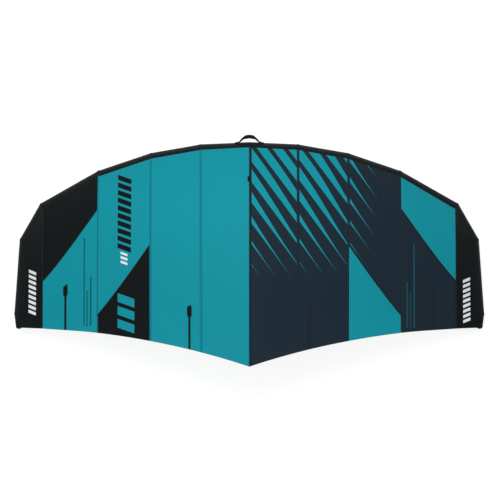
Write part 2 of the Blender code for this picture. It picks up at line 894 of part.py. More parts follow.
def ring_points(middle, along, reach, half_width, depth, top_corner, low_corner):
    """A closed ring with a straight bar through its middle point and round corners."""
    top = middle + along * (half_width - top_corner) + reach * top_corner
    low = middle + along * (half_width - low_corner) + reach * (depth - low_corner)
    right = turn_points(top, -reach, along, top_corner, 0.0, math.pi / 2, 3)
    right += turn_points(low, along, reach, low_corner, 0.0, math.pi / 2, 4)
    return right + [point - along * (2 * (point - middle).dot(along)) for point in right[::-1]]


def add_rod(shop, name, points, radius, material, pivot, ring=False):
    """A round rod along points, with closed ends or joined into a ring."""
    data = bpy.data.curves.new(name, "CURVE")
    data.dimensions = "3D"
    spline = data.splines.new("POLY")
    spline.points.add(len(points) - 1)
    spline.use_cyclic_u = ring
    for knot, point in zip(spline.points, points):
        knot.co = (*point, 1.0)
    data.bevel_depth = radius
    data.bevel_resolution = ROD_RESOLUTION
    data.use_fill_caps = True
    return shop.add(name, data, material, pivot)


def add_loop_handle(shop, rings):
    """The carrying handle that stands on the front of the tube."""
    places = (0.0, place_across(rings, LOOP_PATCH_HALF))
    patch = patch_sections(rings, places, LOOP_ANGLE, LOOP_PATCH_WIDTH, SEAT_GAP, PATCH_THICKNESS)
    left = [[mirrored(point, -1) for point in section] for section in patch[:0:-1]]
    shop.solid("loop_handle_patch", loft(left + patch), "webbing")
    lift = SEAT_GAP + PATCH_THICKNESS + SWING_CLEARANCE + LOOP_ROD_RADIUS
    turn = math.radians(LOOP_ANGLE)
    reach = Vector((0, math.cos(turn), math.sin(turn)))
    seat = skin_point(rings, place_across(rings, LOOP_HALF_WIDTH + LOOP_FILLET), LOOP_ANGLE, lift)
    middle = Vector((0, seat.y, seat.z))
    across = Vector((1, 0, 0))
    pivot = shop.pivot("loop_handle_pivot", middle)
    points = arch_points(middle, across, reach, LOOP_HALF_WIDTH, LOOP_HEIGHT, LOOP_FILLET, LOOP_FOOT)
    add_rod(shop, "loop_handle", points, LOOP_ROD_RADIUS, "webbing", pivot)


def add_strut_patch(shop, strut, word, front, rear):
    """A strip under the strut that carries what is sewn on between two distances back."""
    places = [strut_place(strut, distance) for distance in (front, rear)]
    sections = patch_sections(strut, places, 270, STRUT_PATCH_WIDTH, SEAT_GAP, PATCH_THICKNESS)
    shop.solid(f"strut_patch_{word}", loft(sections), "webbing")


def add_strut_handle(shop, strut, back, word):
    """A strap under the strut with a foam grip on its straight middle."""
    lift = SEAT_GAP + PATCH_THICKNESS + SWING_CLEARANCE + STRAP_RADIUS
    places = [strut_place(strut, distance) for distance in (back, back + HANDLE_LENGTH)]
    start, end = [skin_point(strut, place, 270, lift) for place in places]
    along = (end - start).normalized()
    reach = along.cross(Vector((1, 0, 0))).normalized()
    reach = -reach if reach.z > 0 else reach
    pivot = shop.pivot(f"{word}_handle_pivot", start)
    points = bow_points(start, end, reach, HANDLE_DEPTH, HANDLE_CORNER, HANDLE_FOOT, HANDLE_FOOT_CORNER)
    add_rod(shop, f"{word}_handle_strap", points, STRAP_RADIUS, "webbing", pivot)
    inset = HANDLE_FOOT + HANDLE_FOOT_CORNER + HANDLE_CORNER + GRIP_END_MARGIN
    low = start + along * inset + reach * HANDLE_DEPTH
    length = (end - start).length - 2 * inset
    body = revolved(grip_profile(length), low, along, reach, 20)
    shop.solid(f"{word}_handle_grip", body, "grip_foam", pivot)


def grip_profile(length):
    """Half of a grip cut lengthwise: a bore, round shoulders and a slightly full middle."""
    bore = STRAP_RADIUS + SWING_CLEARANCE
    shoulder = (GRIP_RADIUS - bore) / 2
    full = GRIP_RADIUS
    outer = [
        (bore + shoulder, 0.0),
        (full - shoulder / 3, shoulder / 2),
        (full, shoulder * 2),
        (full, length - shoulder * 2),
        (full - shoulder / 3, length - shoulder / 2),
        (bore + shoulder, length),
    ]
    return [(bore, 0.0), *outer, (bore, length)]


def add_leash_loop(shop, strut):
    lift = SEAT_GAP + PATCH_THICKNESS + SWING_CLEARANCE + LEASH_CORD_RADIUS
    middle = skin_point(strut, strut_place(strut, LEASH_BACK), 270, lift)
    pivot = shop.pivot("leash_loop_pivot", middle)
    across = Vector((1, 0, 0))
    down = Vector((0, 0, -1))
    sizes = LEASH_HALF_WIDTH, LEASH_DEPTH, LEASH_TOP_CORNER, LEASH_CORNER
    points = ring_points(middle, across, down, *sizes)
    add_rod(shop, "leash_loop", points, LEASH_CORD_RADIUS, "webbing", pivot, ring=True)


def add_tip_pads(shop, rings):
    """Rubber strips under the tips, flat where the wing lies on them."""
    half = PAD_WIDTH / 2
    tip = len(rings) - 2
    for side, word in ((1, "right"), (-1, "left")):
        sections = []
        for share in (PAD_START_SHARE, PAD_END_SHARE):
            middle = skin_point(rings, tip + share, 270)
            top = middle.z - SEAT_GAP
            sections.append(
                [
                    mirrored(Vector((middle.x + half, middle.y, 0)), side),
                    mirrored(Vector((middle.x + half, middle.y, top)), side),
                    mirrored(Vector((middle.x - half, middle.y, top)), side),
                    mirrored(Vector((middle.x - half, middle.y, 0)), side),
                ]
            )
        shop.solid(f"tip_pad_{word}", loft(sections), "pad_rubber")


# The inflation valve


def sag(radius, reach):
    """How far a round skin of this radius falls away at a distance to the side."""
    return radius - math.sqrt(max(radius**2 - reach**2, 0.0))


def add_valve(shop, rings, sleeve, bladder):
    place = place_across(rings, VALVE_ACROSS)
    seat = mirrored(skin_point(rings, place, VALVE_ANGLE), -1)
    axis = mirrored(skin_normal(rings, place, VALVE_ANGLE), -1)
    side = square_to(Vector((1, 0, 0)), axis)
    wide = FLANGE_RADIUS + FLANGE_THICKNESS
    depth = SLEEVE_WALL + BLADDER_CLEARANCE + BLADDER_WALL + sag(TUBE_RADIUS, wide) + LOW_SEAT_GAP
    top = COLLAR_HEIGHT
    collar = [
        (COLLAR_BORE, -depth - FLANGE_THICKNESS),
        (FLANGE_RADIUS, -depth - FLANGE_THICKNESS),
        (FLANGE_RADIUS, -depth),
        (COLLAR_RADIUS, -depth),
        (COLLAR_RADIUS, top),
        (COLLAR_BORE, top),
    ]
    shop.solid("valve_collar", revolved(collar, seat, axis, side), "valve_plastic")
    hole = [
        (0.0, -depth - OVERRUN),
        (COLLAR_RADIUS + SEAM_GAP, -depth - OVERRUN),
        (COLLAR_RADIUS + SEAM_GAP, top),
        (0.0, top),
    ]
    cutter = shop.cutter("valve_hole_cutter", revolved(hole, seat, axis, side))
    cut(sleeve, cutter)
    cut(bladder, cutter)
    add_valve_body(shop, seat, axis, side, top)
    add_valve_cap(shop, seat, axis, side, top)


def add_valve_body(shop, seat, axis, side, top):
    """The insert that turns out of the collar for letting the air out, and the flap behind it."""
    outer = COLLAR_BORE - RUNNING_GAP
    upper = top - BODY_RECESS
    lower = -BODY_DEPTH
    profile = [
        (BODY_BORE - BODY_SEAT_WIDTH, lower),
        (outer, lower),
        (outer, upper),
        (BODY_BORE, upper),
        (BODY_BORE, lower + BODY_SEAT_WIDTH),
        (BODY_BORE - BODY_SEAT_WIDTH, lower + BODY_SEAT_WIDTH),
    ]
    pivot = shop.pivot("valve_body_pivot", seat)
    shop.solid("valve_body", revolved(profile, seat, axis, side), "valve_plastic", pivot)
    level = lower - FLAP_CLEARANCE
    radius = BODY_BORE
    hinge = seat + side * radius + axis * (level - FLAP_THICKNESS / 2)
    flap = [(0.0, level - FLAP_THICKNESS), (radius, level - FLAP_THICKNESS), (radius, level), (0.0, level)]
    pivot = shop.pivot("valve_flap_pivot", hinge)
    shop.solid("valve_flap", revolved(flap, seat, axis, side, 20), "hose_rubber", pivot)


def add_valve_cap(shop, seat, axis, side, top):
    """The dust cap with its plug and pull tab, on the ring that ties it to the collar."""
    other = axis.cross(side)
    ring_in = COLLAR_RADIUS + RUNNING_GAP
    ring_out = ring_in + CAP_RING_WALL
    low = CAP_RING_LEVEL
    high = low + CAP_RING_HEIGHT
    ring = [(ring_in, low), (ring_out, low), (ring_out, high), (ring_in, high)]
    level = top + RUNNING_GAP
    cap_radius = COLLAR_RADIUS + CAP_OVERHANG
    hinge_reach = cap_radius + CAP_KNUCKLE_RADIUS + CAP_OVERHANG
    hinge_level = level + CAP_THICKNESS / 2
    post_top = hinge_level - CAP_KNUCKLE_RADIUS - RUNNING_GAP
    band = shop.solid("valve_cap_ring", revolved(ring, seat, axis, side), "valve_plastic")
    half = CAP_KNUCKLE_LENGTH / 2
    post = bmesh.new()
    lows = (ring_in + CAP_RING_WALL / 3, -half, low + CAP_RING_HEIGHT / 4)
    highs = (hinge_reach + CAP_KNUCKLE_RADIUS, half, post_top)
    add_box(post, seat, (side, other, axis), lows, highs)
    union(band, shop.cutter("valve_cap_post", post))
    plug = BODY_BORE - CAP_PLUG_CLEARANCE
    profile = [
        (0.0, level - CAP_PLUG_DEPTH),
        (plug, level - CAP_PLUG_DEPTH),
        (plug, level),
        (cap_radius, level),
        (cap_radius, level + CAP_THICKNESS * 2 / 3),
        (cap_radius - CAP_OVERHANG, level + CAP_THICKNESS),
        (0.0, level + CAP_THICKNESS),
    ]
    pivot = shop.pivot("valve_cap_pivot", seat + side * hinge_reach + axis * hinge_level)
    cap = shop.solid("valve_cap", revolved(profile, seat, axis, side), "valve_plastic", pivot)
    knuckle = [(0.0, -half), (CAP_KNUCKLE_RADIUS, -half), (CAP_KNUCKLE_RADIUS, half), (0.0, half)]
    barrel = revolved(knuckle, seat + side * hinge_reach + axis * hinge_level, other, side, 16)
    union(cap, shop.cutter("valve_cap_knuckle", barrel))
    tongue = bmesh.new()
    thin = CAP_THICKNESS / 4
    edge = half - RUNNING_GAP
    lows = (cap_radius - CAP_OVERHANG * 2, -edge, hinge_level - thin)
    add_box(tongue, seat, (side, other, axis), lows, (hinge_reach, edge, hinge_level + thin))
    union(cap, shop.cutter("valve_cap_tongue", tongue))
    tab = bmesh.new()
    lows = (-cap_radius - CAP_TAB_LENGTH, -CAP_TAB_WIDTH / 2, level + thin)
    highs = (-cap_radius + CAP_OVERHANG * 2, CAP_TAB_WIDTH / 2, level + CAP_THICKNESS / 2 + thin)
    add_box(tab, seat, (side, other, axis), lows, highs)
    union(cap, shop.cutter("valve_cap_tab", tab))


def union(target, helper):
    joined = target.modifiers.new("join_" + helper.name, "BOOLEAN")
    joined.operation = "UNION"
    joined.object = helper


# The air hose


def nipple_profile(outer, depth):
    bore = outer - NIPPLE_WALL
    return [
        (bore, -depth - NIPPLE_FLANGE_THICKNESS),
        (NIPPLE_FLANGE, -depth - NIPPLE_FLANGE_THICKNESS),
        (NIPPLE_FLANGE, -depth),
        (outer, -depth),
        (outer, NIPPLE_LENGTH),
        (bore, NIPPLE_LENGTH),
    ]


def add_nipple(shop, name, seat, axis, tube_radius_there, sleeve, bladder):
    """A flanged spout through a sleeve and its bladder."""
    outer = HOSE_RADIUS - HOSE_WALL - SEAT_GAP
    skins = SLEEVE_WALL + BLADDER_CLEARANCE + BLADDER_WALL
    depth = skins + sag(tube_radius_there, NIPPLE_FLANGE + HOSE_WALL) + LOW_SEAT_GAP
    side = Vector((0, 0, 1))
    shop.solid(name, revolved(nipple_profile(outer, depth), seat, axis, side, 16), "valve_plastic")
    hole = outer + SEAM_GAP
    drill = [(0.0, -depth - OVERRUN), (hole, -depth - OVERRUN), (hole, OVERRUN), (0.0, OVERRUN)]
    cutter = shop.cutter(name + "_cutter", revolved(drill, seat, axis, side, 16))
    cut(sleeve, cutter)
    cut(bladder, cutter)


def hose_path(first, first_way, last, last_way):
    """Straight over each spout, and one smooth bend between."""
    a = first + first_way * HOSE_STAND_OFF
    b = first + first_way * HOSE_STRAIGHT
    c = last + last_way * HOSE_STRAIGHT
    d = last + last_way * HOSE_STAND_OFF
    knots = (b, b + first_way * HOSE_PULL, c + last_way * HOSE_PULL, c)
    points = [a]
    for step in range(HOSE_STEPS + 1):
        s = step / HOSE_STEPS
        weights = ((1 - s) ** 3, 3 * s * (1 - s) ** 2, 3 * s * s * (1 - s), s**3)
        points.append(sum((knot * weight for knot, weight in zip(knots, weights)), Vector()))
    return points + [d]


def add_hose(shop, tube, strut, tube_sleeve, tube_bladder, strut_sleeve, strut_bladder):
    place = place_across(tube, HOSE_ACROSS)
    first = skin_point(tube, place, HOSE_ANGLE)
    first_way = skin_normal(tube, place, HOSE_ANGLE)
    place = strut_place(strut, HOSE_STRUT_BACK)
    last = skin_point(strut, place, HOSE_STRUT_ANGLE)
    last_way = skin_normal(strut, place, HOSE_STRUT_ANGLE)
    add_nipple(shop, "tube_spout", first, first_way, TUBE_RADIUS, tube_sleeve, tube_bladder)
    add_nipple(shop, "strut_spout", last, last_way, STRUT_RADIUS, strut_sleeve, strut_bladder)
    points = hose_path(first, first_way, last, last_way)
    rings = path_rings(points, HOSE_RADIUS)
    sections = []
    for i in range(HOSE_SIDES):
        angle = 360 * i / HOSE_SIDES
        outer = [ring.point(angle) for ring in rings]
        inner = [ring.point(angle, -HOSE_WALL) for ring in rings]
        sections.append(outer + inner[::-1])
    shop.solid("air_hose", loft(sections, wrap=True), "hose_rubber")
    add_clamp(shop, "hose_clamp_front", first, first_way)
    add_clamp(shop, "hose_clamp_rear", last, last_way)
    middle = rings[len(rings) // 2]
    add_clip(shop, middle)


def path_rings(points, radius):
    ways = [(b - a).normalized() for a, b in zip(points, points[1:])]
    before = [ways[0]] + ways
    after = ways + [ways[-1]]
    outward = ways[0].cross(ways[-1]).normalized()
    rings = []
    for point, near, far in zip(points, before, after):
        through = (near + far).normalized()
        side = square_to(outward, through)
        rings.append(Ring(point, side, through.cross(side), far, radius))
    return rings


def add_clamp(shop, name, seat, way):
    near = HOSE_RADIUS + RUNNING_GAP
    far = near + CLAMP_WALL
    low = CLAMP_LEVEL
    high = low + CLAMP_WIDTH
    profile = [(near, low), (far, low), (far, high), (near, high)]
    shop.solid(name, revolved(profile, seat, way, way.orthogonal(), HOSE_SIDES), "steel")


def clip_frame(ring):
    """Along the hose, across it, and the way the swinging arm opens."""
    along = ring.along
    opening = square_to(Vector((0, 0, -1)), along)
    return along, opening.cross(along), opening


def add_clip(shop, ring):
    """Two arms across the hose. A pin on the fixed one, beside the hose, carries the other."""
    along, across, opening = clip_frame(ring)
    reach = HOSE_RADIUS + CLIP_KNUCKLE_RADIUS + CLIP_CLEARANCE
    hinge = ring.centre - across * reach
    half = CLIP_WIDTH / 2
    lap = RUNNING_GAP / 2
    side = half - RUNNING_GAP
    fixed = clip_arm(shop, "clip_fixed_arm", hinge, (along, across, -opening), (-side, -lap), None)
    pivot = shop.pivot("clip_arm_pivot", hinge)
    turn = Matrix.Rotation(math.radians(CLIP_OPEN_ANGLE), 3, along)
    swing = clip_arm(
        shop, "clip_swing_arm", hinge, (along, turn @ across, turn @ opening), (lap, side), pivot
    )
    end = half + RUNNING_GAP
    head = end + CLIP_PIN_HEAD
    pin = [
        (0.0, -half / 2),
        (CLIP_PIN_RADIUS, -half / 2),
        (CLIP_PIN_RADIUS, end),
        (CLIP_PIN_HEAD_RADIUS, end),
        (CLIP_PIN_HEAD_RADIUS, head),
        (0.0, head),
    ]
    union(fixed, shop.cutter("clip_pin", revolved(pin, hinge, along, across, 16)))
    bore = CLIP_PIN_RADIUS + RUNNING_GAP
    drill = [(0.0, -lap), (bore, -lap), (bore, head), (0.0, head)]
    cut(swing, shop.cutter("clip_pin_cutter", revolved(drill, hinge, along, across, 16)))


def clip_arm(shop, name, hinge, axes, lap, pivot):
    """An arm that starts round the pin and lies along one side of the hose."""
    along, across, outward = axes
    near = HOSE_RADIUS + CLIP_CLEARANCE
    far = near + CLIP_ARM_THICKNESS
    arm = bmesh.new()
    half = CLIP_WIDTH / 2
    start = -CLIP_KNUCKLE_RADIUS - RUNNING_GAP
    tip = HOSE_RADIUS * 2 + CLIP_REACH
    add_box(arm, hinge, (along, across, outward), (-half, start, near), (half, tip, far))
    made = shop.solid(name, arm, "clip_plastic", pivot)
    height = near + CLIP_ARM_THICKNESS / 2
    outline = [(CLIP_KNUCKLE_RADIUS, height), (-CLIP_KNUCKLE_RADIUS, height)]
    for step in range(CLIP_EYE_STEPS + 1):
        turn = math.pi * (1 + step / CLIP_EYE_STEPS)
        outline.append((CLIP_KNUCKLE_RADIUS * math.cos(turn), CLIP_KNUCKLE_RADIUS * math.sin(turn)))
    eye = [[hinge + along * end + across * x + outward * y for x, y in outline] for end in lap]
    union(made, shop.cutter(name + "_eye", loft(eye)))
    return made


# The whole wing


def world_bounds():
    bpy.context.view_layer.update()
    graph = bpy.context.evaluated_depsgraph_get()
    lows = [math.inf] * 3
    highs = [-math.inf] * 3
    for thing in bpy.context.scene.objects:
        if thing.hide_render or thing.type == "EMPTY":
            continue
        shape = thing.evaluated_get(graph)
        for vertex in shape.to_mesh().vertices:
            point = shape.matrix_world @ vertex.co
            lows = [min(a, b) for a, b in zip(lows, point)]
            highs = [max(a, b) for a, b in zip(highs, point)]
        shape.to_mesh_clear()
    return Vector(lows), Vector(highs)


def centre_on_ground(shop):
    """Moves the whole wing so that the origin is on the ground under its middle."""
    low, high = world_bounds()
    middle = (low + high) / 2
    shop.wing.location = (-middle.x, -middle.y, -low.z)
    bpy.context.view_layer.update()


def main():
    clear_scene()
    shop = Shop()
    tube = tube_rings()
    seams = canopy_seams(tube)
    rears = trailing_points(tube)
    panels = canopy_panels(tube, seams)
    sleeves = {}
    for side, word, colours in ((1, "right", RIGHT_COLOURS), (-1, "left", LEFT_COLOURS)):
        sleeves[word] = add_tube_sleeves(shop, tube, side, word)
        add_canopy(shop, panels, side, word, colours)
        add_battens(shop, panels, side, word)
    add_trailing_tape(shop, seams, rears)
    bladder = add_tube_bladder(shop, tube)
    strut = strut_rings(seams[0])
    strut_sleeves, strut_bladder = add_strut(shop, strut, tube)
    add_loop_handle(shop, tube)
    patch_ends = HANDLE_LENGTH + STRUT_PATCH_MARGIN
    add_strut_patch(shop, strut, "front", LEASH_BACK - STRUT_PATCH_MARGIN, FRONT_HANDLE_BACK + patch_ends)
    add_strut_patch(shop, strut, "rear", REAR_HANDLE_BACK - STRUT_PATCH_MARGIN, REAR_HANDLE_BACK + patch_ends)
    add_strut_handle(shop, strut, FRONT_HANDLE_BACK, "front")
    add_strut_handle(shop, strut, REAR_HANDLE_BACK, "rear")
    add_leash_loop(shop, strut)
    add_tip_pads(shop, tube)
    add_valve(shop, tube, sleeves["left"][0], bladder)
    strut_sleeve = strut_sleeves[0 if strut_place(strut, HOSE_STRUT_BACK) < STRUT_ROW_BREAKS[1] else 1]
    add_hose(shop, tube, strut, sleeves["right"][0], bladder, strut_sleeve, strut_bladder)
    centre_on_ground(shop)


main()
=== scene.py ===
"""The looks of an inflatable hand wing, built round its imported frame. Metres, +Z up, +Y forward."""

import bisect
import functools
import math

import bmesh
import bpy
from mathutils import Matrix, Vector, noise


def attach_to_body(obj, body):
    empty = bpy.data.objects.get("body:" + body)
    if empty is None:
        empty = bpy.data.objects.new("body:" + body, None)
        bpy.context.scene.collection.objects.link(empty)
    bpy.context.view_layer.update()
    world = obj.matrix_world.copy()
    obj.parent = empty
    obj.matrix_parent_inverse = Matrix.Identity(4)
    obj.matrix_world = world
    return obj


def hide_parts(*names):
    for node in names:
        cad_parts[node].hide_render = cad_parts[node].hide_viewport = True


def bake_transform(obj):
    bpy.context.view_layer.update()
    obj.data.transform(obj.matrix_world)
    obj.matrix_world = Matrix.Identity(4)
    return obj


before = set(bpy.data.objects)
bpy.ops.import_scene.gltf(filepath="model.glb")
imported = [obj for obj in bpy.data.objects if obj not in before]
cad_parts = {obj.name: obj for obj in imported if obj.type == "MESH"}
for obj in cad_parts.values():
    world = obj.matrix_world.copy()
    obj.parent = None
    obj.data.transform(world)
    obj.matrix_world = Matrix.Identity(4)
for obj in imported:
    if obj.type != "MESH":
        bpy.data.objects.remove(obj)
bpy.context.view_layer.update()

SIDEWAYS = Vector((1, 0, 0))
FORWARD = Vector((0, 1, 0))
UP = Vector((0, 0, 1))
SIDES = ((-1, "left"), (1, "right"))

# The camera: a long lens from behind and above, 65 degrees over the horizon
VIEW_ELEVATION = 65
VIEW_DISTANCE = 60.0
VIEW_WIDTH = 3.83
VIEW_TARGET = Vector((0.0054, 0.1327, 0.30))
SENSOR_WIDTH = 36.0

# The stage: lamp, world and floor
LAMP_PLACE = Vector((-0.8, 1.0, 7.0))
LAMP_AIM = Vector((0, 0, 0.3))
LAMP_SIZE = 6.0
LAMP_POWER = 290.0
PURE_WHITE = (1.0, 1.0, 1.0, 1.0)
SKY = (0.96, 0.98, 1.0, 1.0)
SKY_STRENGTH = 0.52
FLOOR_TONE = (0.9, 0.9, 0.9, 1.0)
FLOOR_GLOW = 1.22
FLOOR_GLOW_SHARE = 0.72
FLOOR_SIZE = 150.0
FLOOR_LEVEL = -0.0004

# The leading edge tube's kinks, from the middle to the right tip: place and radius
TUBE_KINKS = (
    ((0.0, 0.8081, 0.5134), 0.125),
    ((0.36414, 0.8081, 0.48345), 0.122),
    ((0.73368, 0.77906, 0.41439), 0.113),
    ((1.12518, 0.70543, 0.29552), 0.1),
    ((1.55286, 0.54126, 0.12236), 0.082),
    ((1.70298, 0.30534, 0.0694), 0.066),
    ((1.75662, -0.2959, 0.0484), 0.045),
)

# The tube's closed tip
TIP_CAP_LENGTH = 0.104
TIP_CAP_SHARE = 0.5
TIP_ROUND = 0.012

# The tube's skin: how far it lies under, waves about and may rise over the round tube, and the
# depth and reach of its folds beside a kink
SKIN_SINK = 0.0003
SKIN_WAVE = 0.0008
SKIN_TOP = 0.0004
KINK_FOLD = 0.0022
MIDDLE_FOLD = 0.0006
KINK_FOLD_REACH = 0.05
KINK_FOLD_START = 0.012
TUBE_ROW = 0.01

# Where the canopy is sewn on at each kink, in degrees up from the tube's front
ATTACH_ANGLES = (68, 68, 68, 68, 70, 82, 95)

# The canopy's seams: place at the trailing edge, and slope of the camber
SEAM_ENDS = (
    ((0.0, -0.9409, 0.5134), 0.5359),
    ((0.37296, -0.80625, 0.48341), 0.5401),
    ((0.75834, -0.68029, 0.4123), 0.5385),
    ((1.16262, -0.55911, 0.29406), 0.508),
    ((1.584, -0.45449, 0.14198), 0.4101),
)

# The canopy as a whole. Its rise is the way in which lifts and folds move it
TIP_CORNER = Vector((1.78308, -0.4204, 0.085))
TIP_EDGE_SHARE = 0.87
CAMBER_POWER = 1.6
RISE = Vector((0.0, -0.068, 0.9977))
CLOTH = 0.0007
CLOTH_TOP = 0.0014
CLOTH_STEP = 0.011
TIP_PANEL = 4
TIP_PANEL_WIDTH = 0.2
CAMBER_EXCESS = 1.1
CUT_MARGIN = 1.02

# The canopy's cuts: panel, name, and the shares of its seams where each cut starts and ends
FRONT = (0.0, 0.0)
INNER_SLANT = (0.516, 0.9)
OUTER_SLANT = (0.254, 0.638)
REAR = (1.0, 1.0)
CUTS = (
    (0, "1", FRONT, REAR),
    (1, "2", FRONT, REAR),
    (2, "3_front", FRONT, INNER_SLANT),
    (2, "3_rear", INNER_SLANT, REAR),
    (3, "4_front", FRONT, OUTER_SLANT),
    (3, "4_rear", OUTER_SLANT, REAR),
    (TIP_PANEL, "tip", FRONT, REAR),
)

# Small folds in the canopy: their depth, how far they reach from a seam or the tube, and how close
# to a seam or an edge the cloth is held flat
SEAM_FOLD = 0.0011
SEAM_FOLD_REACH = 0.035
TUBE_FOLD = 0.0024
TUBE_FOLD_REACH = 0.16
SLOW_WAVE = 0.002
SEAM_HOLD = 0.006
EDGE_HOLD = 0.02

# Tapes and hems
TAPE_WALL = 0.0004
SEAM_TAPE = 0.009
SEAM_LIFT = 0.0007
SEAM_INSET = 0.0024
TAPE_STEP = 0.012
TUBE_BAND = 0.018
BAND_LIFT = 0.0008

# The hem at the canopy's front, with its reach on to the cloth at each kink
HEM_ON_TUBE = 0.014
HEM_ON_CLOTH = (0.011, 0.018, 0.022, 0.028, 0.036, 0.03, 0.02)
HEM_WIDTH = HEM_ON_TUBE + HEM_ON_CLOTH[2]
HEM_LENGTH = 2.2
HEM_TUBE_LIFT = 0.0006
HEM_STEP_UP = 0.005
HEM_WALL = 0.0005

# The hem round the trailing edge and the tip's corner
EDGE_TAPE_BEHIND = 0.002
EDGE_TAPE_LAP = 0.007
EDGE_TAPE_HALF = 0.0012
EDGE_LENGTH = 3.8
TIP_EDGE_LENGTH = 0.13

# How far each seam's tape lies outward of its seam, as on a lapped seam
SEAM_LAPS = (0.0055, -0.012, -0.01, -0.004, 0.0)

# The tab on the middle seam
TAB_SHARES = (0.163, 0.191)
TAB_WIDTH = 0.017
TAB_LENGTH = 0.048
TAB_PLACE = -0.0045
TAB_LIFT = 0.0028
TAB_WALL = 0.0018
TAB_STRAIGHT = 0.8
TAB_ROUNDING = 20

# The batten pockets: panel counted from 0, place across it, and length
POCKETS = {"inner": (1, 0.211, 0.334), "outer": (3, 0.576, 0.345)}
POCKET_HALF = 0.0085
POCKET_HEAD_HALF = 0.019
POCKET_HEAD = 0.07
POCKET_NECK = 0.02
POCKET_SLANT = 0.022
POCKET_LOW = 0.0012
POCKET_HIGH = 0.0041
POCKET_FLAT_HALF = 0.0058
POCKET_WALL = 0.0008
POCKET_STEP = 0.005

# The battens, with the gap between them and their pockets' sides and ends
BATTEN_GAP = 0.0012
BATTEN_CLEAR = 0.012
BATTEN_HALF = 0.0009
BATTEN_LEVEL = 0.0018

# The strut under the middle of the canopy
STRUT_RADIUS = 0.075
STRUT_TAIL_SHARE = 0.36
STRUT_TAPER_START = 0.42
STRUT_END = 0.985
STRUT_JOIN = 0.39
STRUT_DROP = 0.0028
STRUT_ROUND = 0.02
STRUT_MOUTH_FOLD = 0.0016
STRUT_FOLD_REACH = 0.09
STRUT_FOLD_START = 0.03
SLEEVE_WALL = 0.0012
BLADDER_INSET = 0.003
BLADDER_SHARES = (0.1, STRUT_END - 0.02)
PATCH_LIFT = 0.0014
PATCH_WALL = 0.0011
PATCH_CORNER = 0.014

# The strut's tapes, by share of the middle seam. They go most of the way round, in degrees, and
# webs join the strut to the canopy in the gap that they leave
STRUT_TAPES = {"mouth": 0.05, "joint": STRUT_JOIN, "tail": 0.94}
TAPE_START = 96
TAPE_TURN = 348
MOUTH_TAPE_WIDTH = 0.016
WEB_SHARES = (0.055, 0.972)
WEB_FOOT = 0.27
WEB_HEAD = 0.3
WEB_HEAD_REACH = 0.004
WEB_BULGE = 0.002
WEB_WALL = 0.0005

# The carrying handle: an arch between two sewn feet on the front of the tube, and its patch
LOOP_MIDDLE = Vector((0.0, 0.91089, 0.59255))
LOOP_REACH = Vector((0.0, 0.76604, 0.64279))
LOOP_ANGLE = 40
LOOP_RADIUS = 0.008
LOOP_PADDED = 0.0145
LOOP_FOOT_LIFT = 0.0045
LOOP_PATCH = (0.112, 0.046)
LOOP_PATCH_LIFT = 0.0012
LOOP_PATCH_WALL = 0.0009
LOOP_HALF = 0.072
LOOP_HEIGHT = 0.042
LOOP_FILLET = 0.014
LOOP_FOOT = 0.106
LOOP_SEWN = (0.03, 0.055)
LOOP_PAD_START = (0.07, 0.1)
LOOP_FOOT_HALF = 0.011
LOOP_FOOT_THICK = 0.003

# The two handles under the strut, by where their straps start and end, and their patches
HANDLES = {
    "front": (Vector((0.0, 0.45595, 0.58271)), Vector((0.0, 0.17293, 0.59404))),
    "rear": (Vector((0.0, -0.12674, 0.56527)), Vector((0.0, -0.42654, 0.5274))),
}
HANDLE_DEPTH = 0.08
HANDLE_CORNER = 0.04
HANDLE_FOOT = 0.022
HANDLE_FOOT_CORNER = 0.012
HANDLE_PATCHES = {"front": (0.225, 0.66), "rear": (0.93, 1.27)}
HANDLE_PATCH_HALF = 0.025
STRAP_RADIUS = 0.006
WEBBING_HALF = 0.0115
WEBBING_THICK = 0.0017

# The foam grips and their end bands
GRIP_RADIUS = 0.016
GRIP_INSET = 0.08
GRIP_END_RADIUS = 0.0152
GRIP_SHOULDER = (0.016, 0.05)
GRIP_HOLLOW = 0.0007
GRIP_HOLLOW_PITCH = 0.0265
GRIP_BAND_PLACE = 0.009
GRIP_BAND = ((0.0149, -0.004), (0.0162, -0.0033), (0.0162, 0.0033), (0.0149, 0.004))

# The leash loop
LEASH_MIDDLE = Vector((0.0, 0.54593, 0.56853))
LEASH_HALF = 0.016
LEASH_DEPTH = 0.046
LEASH_TOP_CORNER = 0.005
LEASH_LOW_CORNER = 0.014
LEASH_RADIUS = 0.0025
LEASH_SLEEVE_HALF = 0.009
LEASH_SLEEVE_RADIUS = 0.0032

# The rubber pads under the tips: shares of the tube's last straight stretch, and size
PAD_SHARES = (0.04, 0.92)
PAD_HALF = 0.016
PAD_EDGE = 0.0015
PAD_EDGE_CURVE = 300
PAD_GAP = 0.0004
PAD_LENGTH = 0.54

# The inflation valve under the left half: its seat, its way out, and its cap's hinge side
VALVE_SEAT = Vector((-0.18118, 0.77641, 0.3788))
VALVE_AXIS = Vector((0.07922, -0.25677, -0.96322)).normalized()
VALVE_SIDE = Vector((0.99686, 0.02041, 0.07655)).normalized()
COLLAR_RADIUS = 0.030
COLLAR_BORE = 0.024
COLLAR_TOP = 0.016
BORE_GAP = 0.0003
CAP_BASE = COLLAR_TOP + 0.0003
CAP_HINGE_PLACE = 0.0345
CAP_HINGE_HEIGHT = 0.0015
LUG_TURN = 0.4

# Welded round patches, with the inner and outer radius of each
COLLAR_PATCH = (COLLAR_RADIUS + 0.0004, 0.055)
HOSE_PATCH = (0.0085, 0.026)
DISC_LIFT = 0.0009
DISC_RIM_DROP = 0.0005
DISC_WALL = 0.0006

